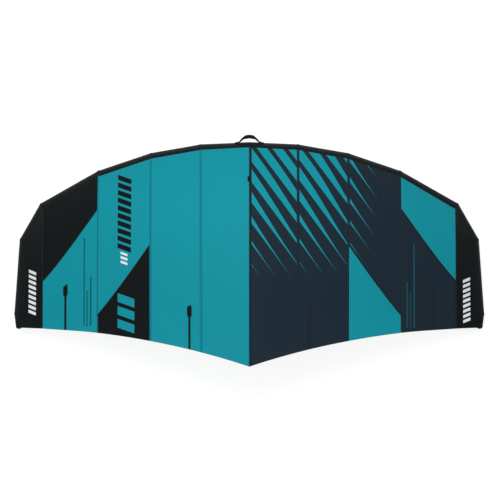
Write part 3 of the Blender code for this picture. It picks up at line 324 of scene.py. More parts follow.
# The valve's profiles, as (radius, height)
COLLAR_GROOVE = 0.0012
COLLAR_PROFILE = (
    (COLLAR_BORE, -0.0147),
    (0.04, -0.0147),
    (0.04, -0.0127),
    (COLLAR_RADIUS, -0.0127),
    (COLLAR_RADIUS, 0.0112),
    (COLLAR_RADIUS - COLLAR_GROOVE, 0.0112),
    (COLLAR_RADIUS - COLLAR_GROOVE, 0.0122),
    (COLLAR_RADIUS, 0.0122),
    (COLLAR_RADIUS, COLLAR_TOP),
    (COLLAR_BORE, COLLAR_TOP),
)
INSERT_PROFILE = (
    (0.014, -0.006),
    (0.0237, -0.006),
    (0.0237, 0.014),
    (0.0195, 0.014),
    (0.0185, 0.0125),
    (0.016, 0.0125),
    (0.016, -0.004),
    (0.014, -0.004),
)
CAP_PROFILE = (
    (0.0, -0.0045),
    (0.0125, -0.0045),
    (0.0125, -0.006),
    (0.0154, -0.006),
    (0.0154, 0.0),
    (0.031, 0.0),
    (0.031, 0.0019),
    (0.0296, 0.003),
    (0.0225, 0.003),
    (0.021, 0.0021),
    (0.0, 0.0021),
)
CAP_BARREL = ((0.0, -0.006), (0.0025, -0.006), (0.0025, 0.006), (0.0, 0.006))

# Small blocks on the valve, each from one corner to the other
INSERT_LUG = ((0.0198, -0.0016, 0.0135), (0.0226, 0.0016, 0.0152))
CAP_TAB = ((-0.04, -0.007, 0.00075), (-0.029, 0.007, 0.00225))
CAP_TAB_RIB = ((-0.0388, -0.0052, 0.002), (-0.0379, 0.0052, 0.0028))
CAP_RIB_PITCH = 0.0022
CAP_TONGUE = ((0.029, -0.0057, 0.00075), (0.0345, 0.0057, 0.00225))

# The air hose under the right half: its two seats with their ways out, and its route
HOSE_FIRST = Vector((0.12489, 0.71655, 0.42033))
HOSE_FIRST_WAY = Vector((-0.05488, -0.74277, -0.6673)).normalized()
HOSE_LAST = Vector((0.06597, 0.4045, 0.63686))
HOSE_LAST_WAY = Vector((0.88311, -0.04599, -0.4669)).normalized()
HOSE_ROUTE = (
    (0.12472, 0.71433, 0.41832),
    (0.12346, 0.69724, 0.40298),
    (0.12316, 0.68047, 0.3969),
    (0.12386, 0.65719, 0.40091),
    (0.12514, 0.62893, 0.41332),
    (0.12654, 0.59721, 0.43244),
    (0.12762, 0.56358, 0.45659),
    (0.12794, 0.52957, 0.48408),
    (0.12705, 0.49671, 0.51322),
    (0.12451, 0.46653, 0.54233),
    (0.11987, 0.44057, 0.56972),
    (0.11269, 0.42035, 0.59371),
    (0.10253, 0.40742, 0.6126),
    (0.08893, 0.40331, 0.62473),
    (0.06862, 0.40437, 0.63546),
)
HOSE_RADIUS = 0.0095
HOSE_RIB = 0.0045
HOSE_RIB_HALF = 0.00035
HOSE_RIB_SINK = 0.0003
HOSE_RIB_START = (0.016, 0.022)
HOSE_WALL = 0.002

# The hose clamps' band and screw, as (radius, height), and their screw housing
CLAMP_NEAR = HOSE_RADIUS + 0.0003
CLAMP_FAR = HOSE_RADIUS + 0.0012
CLAMP_ROLL = CLAMP_FAR + 0.0005
CLAMP_BAND = (
    (CLAMP_NEAR, 0.009),
    (CLAMP_ROLL, 0.009),
    (CLAMP_ROLL, 0.0096),
    (CLAMP_FAR, 0.0099),
    (CLAMP_FAR, 0.0151),
    (CLAMP_ROLL, 0.0154),
    (CLAMP_ROLL, 0.016),
    (CLAMP_NEAR, 0.016),
)
CLAMP_HOUSING = (
    (CLAMP_FAR - 0.0002, -0.0045, 0.0098),
    (CLAMP_FAR + 0.0042, 0.0045, 0.0152),
)
CLAMP_SCREW = (
    (0.0, 0.004),
    (0.0023, 0.004),
    (0.0023, 0.0062),
    (0.0008, 0.0062),
    (0.0008, 0.0056),
    (0.0, 0.0056),
)
CLAMP_SCREW_REACH = CLAMP_FAR + 0.0021
CLAMP_MIDDLE = 0.0125

# Colours, all linear. The hem's colours run from one place across the wing to another
BLACK = (0.0050, 0.0074, 0.0080, 1.0)
TEAL = (0.0054, 0.281, 0.345, 1.0)
NAVY = (0.0120, 0.0235, 0.0350, 1.0)
SEAM_TEAL = (0.0035, 0.174, 0.232, 1.0)
SEAM_NAVY = (0.0095, 0.019, 0.029, 1.0)
FAINT_TEAL = (0.006, 0.12, 0.15, 1.0)
HEM_COLOURS = (
    (-1.584, -1.163, TEAL),
    (-0.758, 0.0, TEAL),
    (0.0, 0.758, NAVY),
    (0.758, 1.163, TEAL),
    (1.163, 1.584, NAVY),
)
WHITE = (0.80, 0.82, 0.83, 1.0)
THREAD = (0.05, 0.052, 0.055, 1.0)
TEAL_THREAD = (0.01, 0.2, 0.25, 1.0)
STRAP_BLACK = (0.009, 0.009, 0.0095, 1.0)
CORD_BLACK = (0.012, 0.012, 0.0125, 1.0)
WELD_BLACK = (0.008, 0.008, 0.0085, 1.0)
RUBBER_BLACK = (0.02, 0.02, 0.021, 1.0)
PAD_BLACK = (0.014, 0.014, 0.0145, 1.0)
PLASTIC_BLACK = (0.025, 0.025, 0.027, 1.0)
CLIP_RED = (0.42, 0.03, 0.022, 1.0)
HOSE_GREY = (0.2, 0.21, 0.22, 1.0)
STEEL_GREY = (0.6, 0.6, 0.61, 1.0)
FILM_CLEAR = (0.6, 0.62, 0.6, 1.0)
STRIP_YELLOW = (0.68, 0.66, 0.56, 1.0)

# Printed bars, in the plane of the photograph: left, right, low, high, pitch, share of ink, slant
DARK_BARS = (
    (-1.0057, -0.9023, 0.2450, 0.8250, 0.058, 0.66, 0.35),
    (-1.2660, -1.2560, -0.3274, 0.3429, 0.012, 0.62, 0.0),
    (-1.2430, -1.2340, -0.3350, -0.0590, 0.012, 0.62, 0.0),
    (-1.2160, -1.2050, -0.3274, 0.0410, 0.015, 0.66, 0.0),
)
PALE_BARS = ((-0.9820, -0.9290, 0.1400, 0.2260, 0.034, 0.56, 0.35),)
TEAL_BARS = ((-1.0040, -0.8750, -0.3660, -0.0900, 0.098, 0.68, 0.35),)
TIP_BARS = (
    (-1.6910, -1.6340, -0.2430, 0.1016, 0.0383, 0.6, 0.4),
    (1.6370, 1.6930, -0.3021, 0.0403, 0.0383, 0.6, -0.4),
)
FAINT_BARS = (
    (1.2000, 1.2100, -0.3430, 0.0020, 0.012, 0.62, 0.0),
    (1.2250, 1.2340, -0.3430, -0.0800, 0.012, 0.5, 0.0),
    (1.2530, 1.2640, -0.3460, 0.3007, 0.015, 0.62, 0.0),
)

# Swept bars, in the same plane. They stop short of each seam
SWEEP_SLOPE = 1.35
SWEEP_PITCH = 0.158
SWEEP_STEP = 0.79
SWEEP_SEAMS = (0.377, 0.764)
SWEEP_MIDDLE_GAP = 0.018
SWEEP_SEAM_GAP = 0.006
SWEEP_HEIGHTS = (0.02, 0.98)
SWEEP_FADE = (0.5, 1.0)
SWEEP_INK = 0.66


# Finishes


class Value:
    """A shader socket's value. Python's operators on it add Math nodes."""

    def __init__(self, finish, socket):
        self.finish = finish
        self.socket = socket

    def maths(self, operation, *others):
        inputs = dict(enumerate((self, *others)))
        return self.finish.node("Math", {"operation": operation}, inputs)

    def __add__(self, other):
        return self.maths("ADD", other)

    def __sub__(self, other):
        return self.maths("SUBTRACT", other)

    def __rsub__(self, other):
        return self.finish.node("Math", {"operation": "SUBTRACT"}, {0: other, 1: self})

    def __mul__(self, other):
        return self.maths("MULTIPLY", other)

    def __truediv__(self, other):
        return self.maths("DIVIDE", other)

    def __abs__(self):
        return self.maths("ABSOLUTE")

    def __lt__(self, other):
        return self.maths("LESS_THAN", other)

    def __gt__(self, other):
        return self.maths("GREATER_THAN", other)

    __radd__ = __add__

    def part(self):
        """What is left over a whole number, also below zero."""
        return self.maths("FRACT")

    def zigzag(self):
        """Up and down between 0 and 1 in each whole number."""
        return abs(self.part() - 0.5) * 2

    def or_over(self, other):
        return self.maths("MAXIMUM", other)

    def between(self, low, high):
        return (self > low) * (self < high)

    def eased(self, low, high):
        settings = {"interpolation_type": "SMOOTHSTEP"}
        return self.finish.node("MapRange", settings, {0: self, 1: low, 2: high})


class Finish:
    """A material and the nodes that vary it. Its slot is stored but not used."""

    def __init__(self, name, slot, roughness, fixed=()):
        self.material = bpy.data.materials.new(name)
        self.material.use_nodes = True
        self.slot = slot
        self.tree = self.material.node_tree
        self.shader = self.tree.nodes["Principled BSDF"]
        self.shader.inputs["Roughness"].default_value = roughness
        for socket, value in dict(fixed).items():
            self.shader.inputs[socket].default_value = value

    def node(self, kind, settings=(), inputs=(), output=0):
        made = self.tree.nodes.new("ShaderNode" + kind)
        for name, value in dict(settings).items():
            setattr(made, name, value)
        for name, value in dict(inputs).items():
            self.feed(made.inputs[name], value)
        return Value(self, made.outputs[output])

    def feed(self, socket, value):
        if isinstance(value, Value):
            self.tree.links.new(value.socket, socket)
        else:
            socket.default_value = value

    def coordinates(self, kind="Object", axes=3):
        """The parts of Object or UV coordinates, in metres."""
        place = self.node("TexCoord", output=kind)
        return [self.node("SeparateXYZ", (), {0: place}, axis) for axis in range(axes)]

    def cloth_coordinates(self):
        """Across and along a cloth or tape, in metres."""
        return self.coordinates("UV", 2)

    def vector(self, x, y, z=0.0):
        return self.node("CombineXYZ", (), {0: x, 1: y, 2: z})

    def cloud(self, place, scale, detail=2.0):
        """Soft noise from 0 to 1."""
        return self.node("TexNoise", (), {"Vector": place, "Scale": scale, "Detail": detail})

    def mixed(self, share, first, second):
        """One colour over another by a share."""
        return self.node("Mix", {"data_type": "RGBA"}, {0: share, 6: first, 7: second}, 2)

    def shaded(self, colour, share):
        """The colour, lighter or darker by a share that varies round 1."""
        grey = self.node("CombineColor", (), {0: share, 1: share, 2: share})
        settings = {"data_type": "RGBA", "blend_type": "MULTIPLY"}
        return self.node("Mix", settings, {0: 1.0, 6: colour, 7: grey}, 2)

    def colour(self, value):
        self.feed(self.shader.inputs["Base Color"], value)
        return self

    def roughen(self, value):
        self.feed(self.shader.inputs["Roughness"], value)
        return self

    def relief(self, height_mm, strength=1.0):
        """A bump from a height in millimetres."""
        inputs = {"Height": height_mm, "Strength": strength, "Distance": 0.001}
        self.feed(self.shader.inputs["Normal"], self.node("Bump", (), inputs))
        return self


def image_plane(finish):
    """Metres across and up in the plane of the photograph, from the object's own place."""
    x, y, z = finish.coordinates()
    slant = math.radians(VIEW_ELEVATION)
    return x, y * math.sin(slant) + z * math.cos(slant)


def printed(finish, ground, rows):
    """Rows of printed bars over a ground colour, each row with its ink."""
    across, up = image_plane(finish)
    colour = ground
    for bars, ink in rows:
        for left, right, low, high, pitch, share, slant in bars:
            middle = slant * (left + right) / 2
            along = up + across * slant - middle
            inside = across.between(left, right) * along.between(low, high)
            mask = inside * (((along - low) / pitch).part() < share)
            colour = finish.mixed(mask, colour, ink)
    return colour


def swept_bars(finish, ground, ink):
    """Slanting bars that thin out downwards and outwards, and step at each seam."""
    across, up = image_plane(finish)
    first, second = SWEEP_SEAMS
    steps = (across > first) + (across > second)
    along = (up + across * SWEEP_SLOPE) / SWEEP_PITCH + steps * SWEEP_STEP
    share = up.eased(*SWEEP_HEIGHTS) * (1 - across.eased(*SWEEP_FADE)) * SWEEP_INK
    inside = across > SWEEP_MIDDLE_GAP
    for seam in SWEEP_SEAMS:
        inside = inside * (abs(across - seam) > SWEEP_SEAM_GAP)
    return finish.mixed(inside * (along.part() < share), ground, ink)


def ripstop(name, slot, colour, prints):
    """Canopy cloth: a fine grid of thicker threads, slow changes of tone, and its prints."""
    cloth = Finish(name, slot, 0.6, {"Specular IOR Level": 0.07})
    u, v = cloth.cloth_coordinates()
    grid, thin = 0.006, 0.86
    lines = ((u / grid).zigzag() > thin).or_over((v / grid).zigzag() > thin)
    tone = cloth.cloud(cloth.vector(u, v), 3.0, 3.0)
    cloth.colour(cloth.shaded(prints(cloth, colour), 0.95 + tone * 0.08 + lines * 0.03))
    return cloth.relief(lines * 0.06 + cloth.cloud(cloth.vector(u, v), 900.0) * 0.03)


def woven(name, slot, colour, roughness, pitch, depth):
    """Cloth or webbing with a plain weave and a slow change of tone."""
    cloth = Finish(name, slot, roughness, {"Specular IOR Level": 0.12})
    u, v = cloth.cloth_coordinates()
    tone = cloth.cloud(cloth.vector(u, v), 9.0, 4.0)
    weft, warp = (u / pitch).zigzag(), (v / pitch).zigzag()
    cloth.colour(cloth.shaded(colour, 0.82 + tone * 0.26 + weft * warp * 0.14))
    cloth.roughen(roughness - 0.05 + tone * 0.12)
    return cloth.relief((weft + warp) * depth)


def stitched(name, slot, colour, width, inset=0.003, thread=THREAD):
    """Tape with a zigzag row of stitches near each side, an inset from it."""
    tape = Finish(name, slot, 0.7, {"Specular IOR Level": 0.1})
    u, v = tape.cloth_coordinates()
    zigzag, swing, stitch, thick, pitch = 0.0046, 0.0016, 0.0023, 0.00042, 0.0011
    bend = (v / zigzag).zigzag() * swing
    row = abs(abs(u - width / 2) + bend - (width / 2 - inset))
    stitches = (row < thick) * ((v / stitch).part() < 0.86)
    tone = tape.cloud(tape.vector(u, v), 14.0, 3.0)
    weave = ((u - v) / pitch).zigzag()
    ground = tape.shaded(colour, 0.86 + tone * 0.2 + weave * 0.08)
    tape.colour(tape.mixed(stitches, ground, thread))
    return tape.relief(stitches * 0.25 + weave * 0.05)


def box_stitched(name, half_width, length):
    """Patch cloth with a row of stitches inside its edge and a stitched cross near each end."""
    patch = Finish(name, "webbing", 0.72, {"Specular IOR Level": 0.15})
    u, v = patch.cloth_coordinates()
    margin, thick, stitch, pitch = 0.005, 0.0006, 0.0034, 0.0013
    half, long_half = half_width - margin, length / 2 - margin
    aside, ends = abs(u - half_width), abs(v - length / 2)
    from_end = long_half - ends
    rim = (abs(aside - half) < thick) * (ends < long_half)
    rim = rim.or_over((abs(from_end) < thick) * (aside < half))
    cross = (abs(abs(from_end - half) - aside) < thick) * from_end.between(0.0, half * 2)
    bar = (abs(from_end - half * 2) < thick) * (aside < half)
    dashes = ((u + v) / stitch).part() < 0.72
    thread = rim.or_over(cross).or_over(bar) * dashes
    weave = ((u + v) / pitch).zigzag() + ((u - v) / pitch).zigzag()
    tone = patch.cloud(patch.vector(u, v), 12.0, 3.0)
    ground = patch.shaded(BLACK, 0.9 + tone * 0.3 + weave * 0.1)
    patch.colour(patch.mixed(thread, ground, THREAD))
    return patch.relief(thread * 0.3 + weave * 0.06)


def edge_hem(name, colours):
    """The folded hem along the trailing edge: each stretch has the colour of its own panel."""
    hem = Finish(name, "webbing", 0.65, {"Specular IOR Level": 0.08})
    (x,) = hem.coordinates(axes=1)
    u, v = hem.cloth_coordinates()
    colour = BLACK
    for low, high, ink in colours:
        colour = hem.mixed(x.between(low, high), colour, ink)
    tone = hem.cloud(hem.vector(u, v), 12.0, 3.0)
    weave = (v / 0.0012).zigzag()
    hem.colour(hem.shaded(colour, 0.88 + tone * 0.16 + weave * 0.05))
    return hem.relief(weave * 0.04)


def moulded(name, slot, colour, roughness, grain=0.03):
    """Moulded plastic or rubber: a fine grain, and a little more gloss where it is worn."""
    made = Finish(name, slot, roughness)
    place = made.vector(*made.coordinates())
    worn, fine = made.cloud(place, 60.0, 4.0), made.cloud(place, 1800.0, 2.0)
    made.colour(made.shaded(colour, 0.88 + worn * 0.24))
    made.roughen(roughness - 0.08 + worn * 0.16)
    return made.relief(fine * grain)


def foam(name, colour):
    """Closed-cell foam: small pits painted darker as shade, and a dull, dusty surface."""
    made = Finish(name, "grip_foam", 0.88, {"Specular IOR Level": 0.2, "Sheen Weight": 0.1})
    place = made.vector(*made.coordinates())
    cells = made.node("TexVoronoi", (), {"Vector": place, "Scale": 700.0})
    tone = made.cloud(place, 40.0, 4.0)
    # Painted shade: the colour darkens towards the floor of each pit, where the relief is lowest.
    made.colour(made.shaded(colour, 0.75 + tone * 0.3 + cells * 0.3))
    return made.relief(cells * 0.25)


def brushed(name, colour):
    """Stainless band steel with fine scratches round it."""
    made = Finish(name, "steel", 0.3, {"Metallic": 1.0})
    x, y, z = made.coordinates()
    scratches = made.cloud(made.vector(x * 40, y * 900, z * 900), 1.0, 4.0)
    made.colour(made.shaded(colour, 0.82 + scratches * 0.3))
    made.roughen(0.22 + scratches * 0.22)
    return made.relief(scratches * 0.02)


def dark_on_teal(finish, ground):
    return printed(finish, ground, ((DARK_BARS, BLACK), (PALE_BARS, WHITE)))


def bright_on_black(finish, ground):
    return printed(finish, ground, ((TEAL_BARS, TEAL), (TIP_BARS, WHITE)))


def teal_on_navy(finish, ground):
    return printed(finish, swept_bars(finish, ground, TEAL), ((FAINT_BARS, FAINT_TEAL),))


# Shapes


def mix(first, second, share):
    return first + (second - first) * share


def eased(value, low, high):
    share = min(max((value - low) / (high - low), 0.0), 1.0)
    return share * share * (3 - 2 * share)


def mirrored(point, side):
    """A point of the right half for side 1, or its mirror image on the left for side -1."""
    return Vector((point.x * side, point.y, point.z))


def square_to(way, axis):
    """The way at right angles to an axis that is nearest to the given one."""
    return (way - axis * way.dot(axis)).normalized()


def way_at(angle, first, second):
    """The way at an angle in radians from the first way towards the second."""
    return first * math.cos(angle) + second * math.sin(angle)


def squared(turn, power, high_power=None):
    """A place on a rounded square that reaches 1 each way, at a share of a turn."""
    angle = math.tau * turn
    c, s = math.cos(angle), math.sin(angle)
    return math.copysign(abs(c) ** power, c), math.copysign(abs(s) ** (high_power or power), s)


def dome(left, depth):
    """How wide a rounded end is, at a distance from its tip: 0 there, and 1 from its depth on."""
    return math.sqrt(max(1 - max(1 - left / depth, 0.0) ** 2, 0.0))


def fading(distance, reach):
    """1 at no distance, dying away over a few times the reach."""
    return math.exp(-distance / reach)


def noise_round(angle, scale, level):
    """Soft noise that closes on itself round a tube, at an angle in radians."""
    return noise.noise(Vector((math.cos(angle) * scale, math.sin(angle) * scale, level)))


def first_share(passed, high=1.0):
    """The lowest share that passes a test, found by halving."""
    low = 0.0
    for _ in range(30):
        middle = (low + high) / 2
        low, high = (low, middle) if passed(middle) else (middle, high)
    return high


def leans_through(points, marks):
    """How a smooth line leans at each of its points, for each metre of its marks."""
    steps = [(b - a) / (n - m) for a, b, m, n in zip(points, points[1:], marks, marks[1:])]
    leans = [steps[0]]
    for i in range(1, len(points) - 1):
        near, far = marks[i] - marks[i - 1], marks[i + 1] - marks[i]
        leans.append((steps[i - 1] * far + steps[i] * near) / (near + far))
    return [*leans, steps[-1]]


def curved(first, second, lean, next_lean, wide, share):
    """A smooth curve from one point to the next, with how it leans at both, at a share of it."""
    a, b = share * share, share * share * share
    ends = first * (2 * b - 3 * a + 1) + second * (3 * a - 2 * b)
    return ends + lean * (wide * (b - 2 * a + share)) + next_lean * (wide * (b - a))


def grid_of(across_steps, along_steps, place, size, closed=False):
    """A unit square of quads laid out by place, with a UV map in metres. Closed joins its sides."""
    body = bmesh.new()
    cloth = body.loops.layers.uv.new("cloth")
    bmesh.ops.create_grid(body, x_segments=across_steps, y_segments=along_steps, size=0.5)
    for face in body.faces:
        for corner in face.loops:
            across, along = corner.vert.co.x + 0.5, corner.vert.co.y + 0.5
            corner[cloth].uv = (across * size[0], along * size[1])
    for vert in body.verts:
        vert.co = place(vert.co.x + 0.5, vert.co.y + 0.5)
    if closed:
        bmesh.ops.remove_doubles(body, verts=body.verts, dist=0.00001)
        bmesh.ops.recalc_face_normals(body, faces=body.faces)
    return body


def turned_to(body, way=UP):
    """The sheet with its faces to one way."""
    body.normal_update()
    if sum(face.normal.dot(way) * face.calc_area() for face in body.faces) < 0:
        bmesh.ops.reverse_faces(body, faces=body.faces)
    return body


def turned_from(body, middle):
    """The ring of tape with its faces away from what it goes round."""
    body.normal_update()
    if sum(face.normal.dot(face.calc_center_median() - middle) for face in body.faces) < 0:
        bmesh.ops.reverse_faces(body, faces=body.faces)
    return body


def capped(body):
    """The tube with its open ends filled."""
    bmesh.ops.holes_fill(body, edges=body.edges, sides=0)
    bmesh.ops.recalc_face_normals(body, faces=body.faces)
    return body


def spun(profile, place, axis, start, closed=True, steps=96):
    """A profile of (radius, height) spun about the axis through place."""
    side = square_to(start, axis)
    body = bmesh.new()
    corners = [body.verts.new(place + side * r + axis * h) for r, h in profile]
    pairs = list(zip(corners, corners[1:])) + ([(corners[-1], corners[0])] if closed else [])
    edges = [body.edges.new(pair) for pair in pairs]
    turn = {"cent": place, "axis": axis, "angle": math.tau, "steps": steps, "use_merge": True}
    bmesh.ops.spin(body, geom=corners + edges, **turn)
    bmesh.ops.remove_doubles(body, verts=body.verts, dist=0.000001)
    bmesh.ops.recalc_face_normals(body, faces=body.faces)
    return body


def slab(place, axes, lows, highs):
    """A block in its own frame, between two corners given along the three axes."""
    body = bmesh.new()
    bmesh.ops.create_cube(body, size=1.0)
    sizes = [high - low for low, high in zip(lows, highs)]
    middle = [(high + low) / 2 for low, high in zip(lows, highs)]
    turn = Matrix([axis * size for axis, size in zip(axes, sizes)]).transposed().to_4x4()
    turn.translation = place + sum((axis * m for axis, m in zip(axes, middle)), Vector())
    bmesh.ops.transform(body, matrix=turn, verts=body.verts)
    bmesh.ops.recalc_face_normals(body, faces=body.faces)
    return body


def mesh_of(name, body):
    data = bpy.data.meshes.new(name)
    body.to_mesh(data)
    body.free()
    return data


def in_scene(name, data):
    made = bpy.data.objects.new(name, data)
    bpy.context.scene.collection.objects.link(made)
    return made


def make_piece(name, body, finish, rides="wing", replaces=(), wall=0.0, edge=0.0, sharp=40):
    """A bmesh as a piece that moves with a body.

    A wall makes a sheet solid, an edge rounds its corners, and sharp is the angle over which
    an edge counts as a corner.
    """
    data = mesh_of(name, body)
    data.materials.append(finish.material)
    data.shade_smooth()
    data.set_sharp_from_angle(angle=math.radians(sharp))
    piece = in_scene(name, data)
    if wall:
        solid = piece.modifiers.new("wall", "SOLIDIFY")
        solid.thickness = wall
        solid.offset = -1.0
    if edge:
        rounded = piece.modifiers.new("edges", "BEVEL")
        rounded.width = edge
        rounded.segments = 2
        rounded.limit_method = "ANGLE"
        rounded.angle_limit = math.radians(sharp)
    if rides:
        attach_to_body(piece, rides)
    if replaces:
        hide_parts(*replaces)
    return piece


def refined(name, node, finish, rides, edge):
    """A CAD node's own shape with its flats joined and its edges rounded."""
    body = bmesh.new()
    body.from_mesh(bpy.data.objects[node].data)
    bmesh.ops.remove_doubles(body, verts=body.verts, dist=0.00001)
    flats = {"verts": body.verts, "edges": body.edges, "angle_limit": math.radians(1)}
    bmesh.ops.dissolve_limit(body, **flats)
    return make_piece(name, body, finish, rides, [node], edge=edge, sharp=30)


def dress(finish, *nodes):
    """A finish on CAD nodes that keep their shape."""
    for node in nodes:
        for place in bpy.data.objects[node].material_slots:
            place.material = finish.material


# Lines that straps, cords and hoses follow


def marks_along(points):
    """How far each point is along the straight lines through them all."""
    marks = [0.0]
    for a, b in zip(points, points[1:]):
        marks.append(marks[-1] + (b - a).length)
    return marks


class Route:
    """A smooth line through points, measured along its length, with a steady side way."""

    def __init__(self, points, side, closed=False):
        knots = [Vector(point) for point in points]
        if closed:
            knots = [knots[-1], *knots, knots[0], knots[1]]
        marks = marks_along(knots)
        leans = leans_through(knots, marks)
        spans = range(1, len(knots) - 2) if closed else range(len(knots) - 1)
        self.points = []
        for i in spans:
            span = knots[i], knots[i + 1], leans[i], leans[i + 1], marks[i + 1] - marks[i]
            self.points += [curved(*span, step / 8) for step in range(8)]
        self.points.append(knots[spans[-1] + 1])
        self.marks = marks_along(self.points)
        self.length = self.marks[-1]
        self.side = side
        self.closed = closed

    def point(self, distance):
        if self.closed:
            distance %= self.length
        low = bisect.bisect_right(self.marks, distance) - 1
        low = min(max(low, 0), len(self.marks) - 2)
        share = (distance - self.marks[low]) / (self.marks[low + 1] - self.marks[low])
        return mix(self.points[low], self.points[low + 1], share)

    def frame(self, distance):
        """The point at a distance, and the ways beside and over the line there."""
        reach = 0.0015
        along = (self.point(distance + reach) - self.point(distance - reach)).normalized()
        beside = square_to(self.side, along)
        return self.point(distance), beside, along.cross(beside)


def swept(route, section, around=24, step=0.003, end=0.0):
    """A rod or strap along a route, closed at its ends, where its rows lie closer together.

    Section gives its half width, half height and squareness at a distance.
    """

    def place(turn, along):
        even = along if route.closed else along - 0.9 * math.sin(math.tau * along) / math.tau
        distance = route.length * even
        wide, high, square = section(distance)
        left = min(distance, route.length - distance)
        close = 1.0 if route.closed else dome(left, end or high)
        x, y = squared(turn, 1 - square * 0.6)
        point, beside, over = route.frame(distance)
        return point + beside * (x * wide * close) + over * (y * high * close)

    wide, high = section(route.length / 2)[:2]
    size = math.pi * (wide + high), route.length
    return grid_of(around, math.ceil(route.length / step), place, size, closed=True)


def turn_points(centre, first, second, radius, start, end, steps):
    """Points of an arc from angle start to angle end, turning from the first way to the second."""
    turns = [mix(start, end, step / steps) for step in range(steps + 1)]
    return [centre + way_at(turn, first, second) * radius for turn in turns]


def mirrored_about(points, middle, along):
    """The points on the other side of a middle, in the same order."""
    return [point - along * (2 * (point - middle).dot(along)) for point in points]


def arch_points(middle, along, reach, half_width, height, fillet, foot):
    """A round arch over its middle that flares at both ends into feet along its base line."""
    radius = (half_width**2 + height**2) / (2 * height)
    sunk = radius - height
    across = math.sqrt((radius + fillet) ** 2 - (fillet + sunk) ** 2)
    meet = math.atan2(fillet + sunk, across)
    corner = middle + along * across + reach * fillet
    right = turn_points(middle - reach * sunk, along, reach, radius, math.pi / 2, meet, 12)
    right += turn_points(corner, -along, -reach, fillet, meet, math.pi / 2, 6)[1:]
    right.append(middle + along * mix(across, foot, 0.4))
    right.append(middle + along * foot)
    return mirrored_about(right[:0:-1], middle, along) + right


def bow_points(start, end, reach):
    """From start along the base, round a corner, along at full depth, and back up to end."""
    along = (end - start).normalized()
    middle = (start + end) / 2
    inner = HANDLE_FOOT + HANDLE_FOOT_CORNER
    first = start + along * HANDLE_FOOT + reach * HANDLE_FOOT_CORNER
    second = start + along * (inner + HANDLE_CORNER) + reach * (HANDLE_DEPTH - HANDLE_CORNER)
    quarter = math.pi / 2
    points = [start, start + along * (HANDLE_FOOT / 2)]
    points += turn_points(first, -reach, along, HANDLE_FOOT_CORNER, 0.0, quarter, 5)
    points += turn_points(second, -along, reach, HANDLE_CORNER, 0.0, quarter, 8)
    return points + mirrored_about(points[::-1], middle, along)


# The leading edge tube


class Ring:
    """A ring of the tube, in the plane where two straight stretches meet."""

    def __init__(self, centre, before, after, radius):
        through = (before + after).normalized()
        self.centre = centre
        self.up = (Vector((0, 0, 1)) - through * through.z).normalized()
        self.outward = self.up.cross(through)
        self.along = after
        self.radius = radius

    def point(self, angle, lift=0.0):
        way = way_at(math.radians(angle), self.outward, self.up)
        slant = math.sqrt(1 - way.dot(self.along) ** 2)
        return self.centre + way * ((self.radius + lift) / slant)


def tube_rings():
    places, radii = zip(*TUBE_KINKS)
    centres = [Vector(place) for place in places]
    ways = [(b - a).normalized() for a, b in zip(centres, centres[1:])]
    before = [Vector((ways[0].x, 0, -ways[0].z)), *ways]
    after = [*ways, ways[-1]]
    rings = [Ring(*parts) for parts in zip(centres, before, after, radii)]
    end = rings[-1]
    centre = end.centre + end.along * TIP_CAP_LENGTH
    rings.append(Ring(centre, end.along, end.along, end.radius * TIP_CAP_SHARE))
    return rings


RINGS = tube_rings()
LAST_KINK = len(TUBE_KINKS) - 1


def tube_point(place, angle, lift=0.0):
    """A point on the tube's round skin. Place counts its kinks, with a share for in between."""
    cap = RINGS[-1]
    past = place - LAST_KINK - 1
    if past > 0:
        edge = (cap.point(angle, lift) - cap.centre) * math.sqrt(max(1 - past * past, 0.0))
        return cap.centre + edge + cap.along * (TIP_ROUND * past)
    low = min(int(place), LAST_KINK)
    return mix(RINGS[low].point(angle, lift), RINGS[low + 1].point(angle, lift), place - low)


def attach_angle(place):
    """Where the canopy is sewn to the tube, in degrees up from its front."""
    low = min(int(place), LAST_KINK - 1)
    return mix(ATTACH_ANGLES[low], ATTACH_ANGLES[low + 1], min(place, LAST_KINK) - low)


def wrinkled_tube_point(place, angle):
    """The tube's skin with small folds near its kinks, calm along the canopy's seam."""
    low = min(int(place), LAST_KINK)
    kink = min(round(place), LAST_KINK)
    span = (RINGS[low + 1].centre - RINGS[low].centre).length
    far = abs(place - kink) * span
    turn = math.radians(angle)
    fold = noise_round(turn, 3.5, kink * 4.1) * (KINK_FOLD if kink else MIDDLE_FOLD)
    fold *= fading(far, KINK_FOLD_REACH) * eased(far, 0.0, KINK_FOLD_START)
    slow = noise_round(turn, 1.0, place * 2.0 + 9.0) * SKIN_WAVE
    calm = eased(abs(angle - attach_angle(place)), 4, 25)
    return tube_point(place, angle, min(fold - SKIN_SINK + slow, SKIN_TOP) * calm)


# The canopy as one continuous sheet


class Seam:
    """A seam from the tube to the trailing edge, with its camber in its own upright plane."""

    def __init__(self, start, end, slope):
        self.start = start
        self.end = end
        self.length = (end - start).length
        self.rise = (end - start).cross(SIDEWAYS).normalized()
        self.slope = slope

    def point(self, share):
        height = self.slope * self.length * share * max(1 - share, 0.0) ** CAMBER_POWER
        return mix(self.start, self.end, share) + self.rise * height


SEAMS = [
    Seam(tube_point(i, ATTACH_ANGLES[i], CLOTH_TOP), Vector(end), slope)
    for i, (end, slope) in enumerate(SEAM_ENDS)
]


@functools.lru_cache(maxsize=None)
def knots_across(share):
    """Each seam's point at a share of its length, and how the sheet leans there as x grows.

    At the middle it leans only along its own seam, so that the halves meet without a ridge.
    """
    knots = [seam.point(share) for seam in SEAMS]
    leans = leans_through(knots, [knot.x for knot in knots])
    middle = SEAMS[0].point(min(share + 0.002, 1.0)) - SEAMS[0].point(max(share - 0.002, 0.0))
    return knots, [SIDEWAYS + middle * (leans[0].y / middle.y), *leans[1:]]


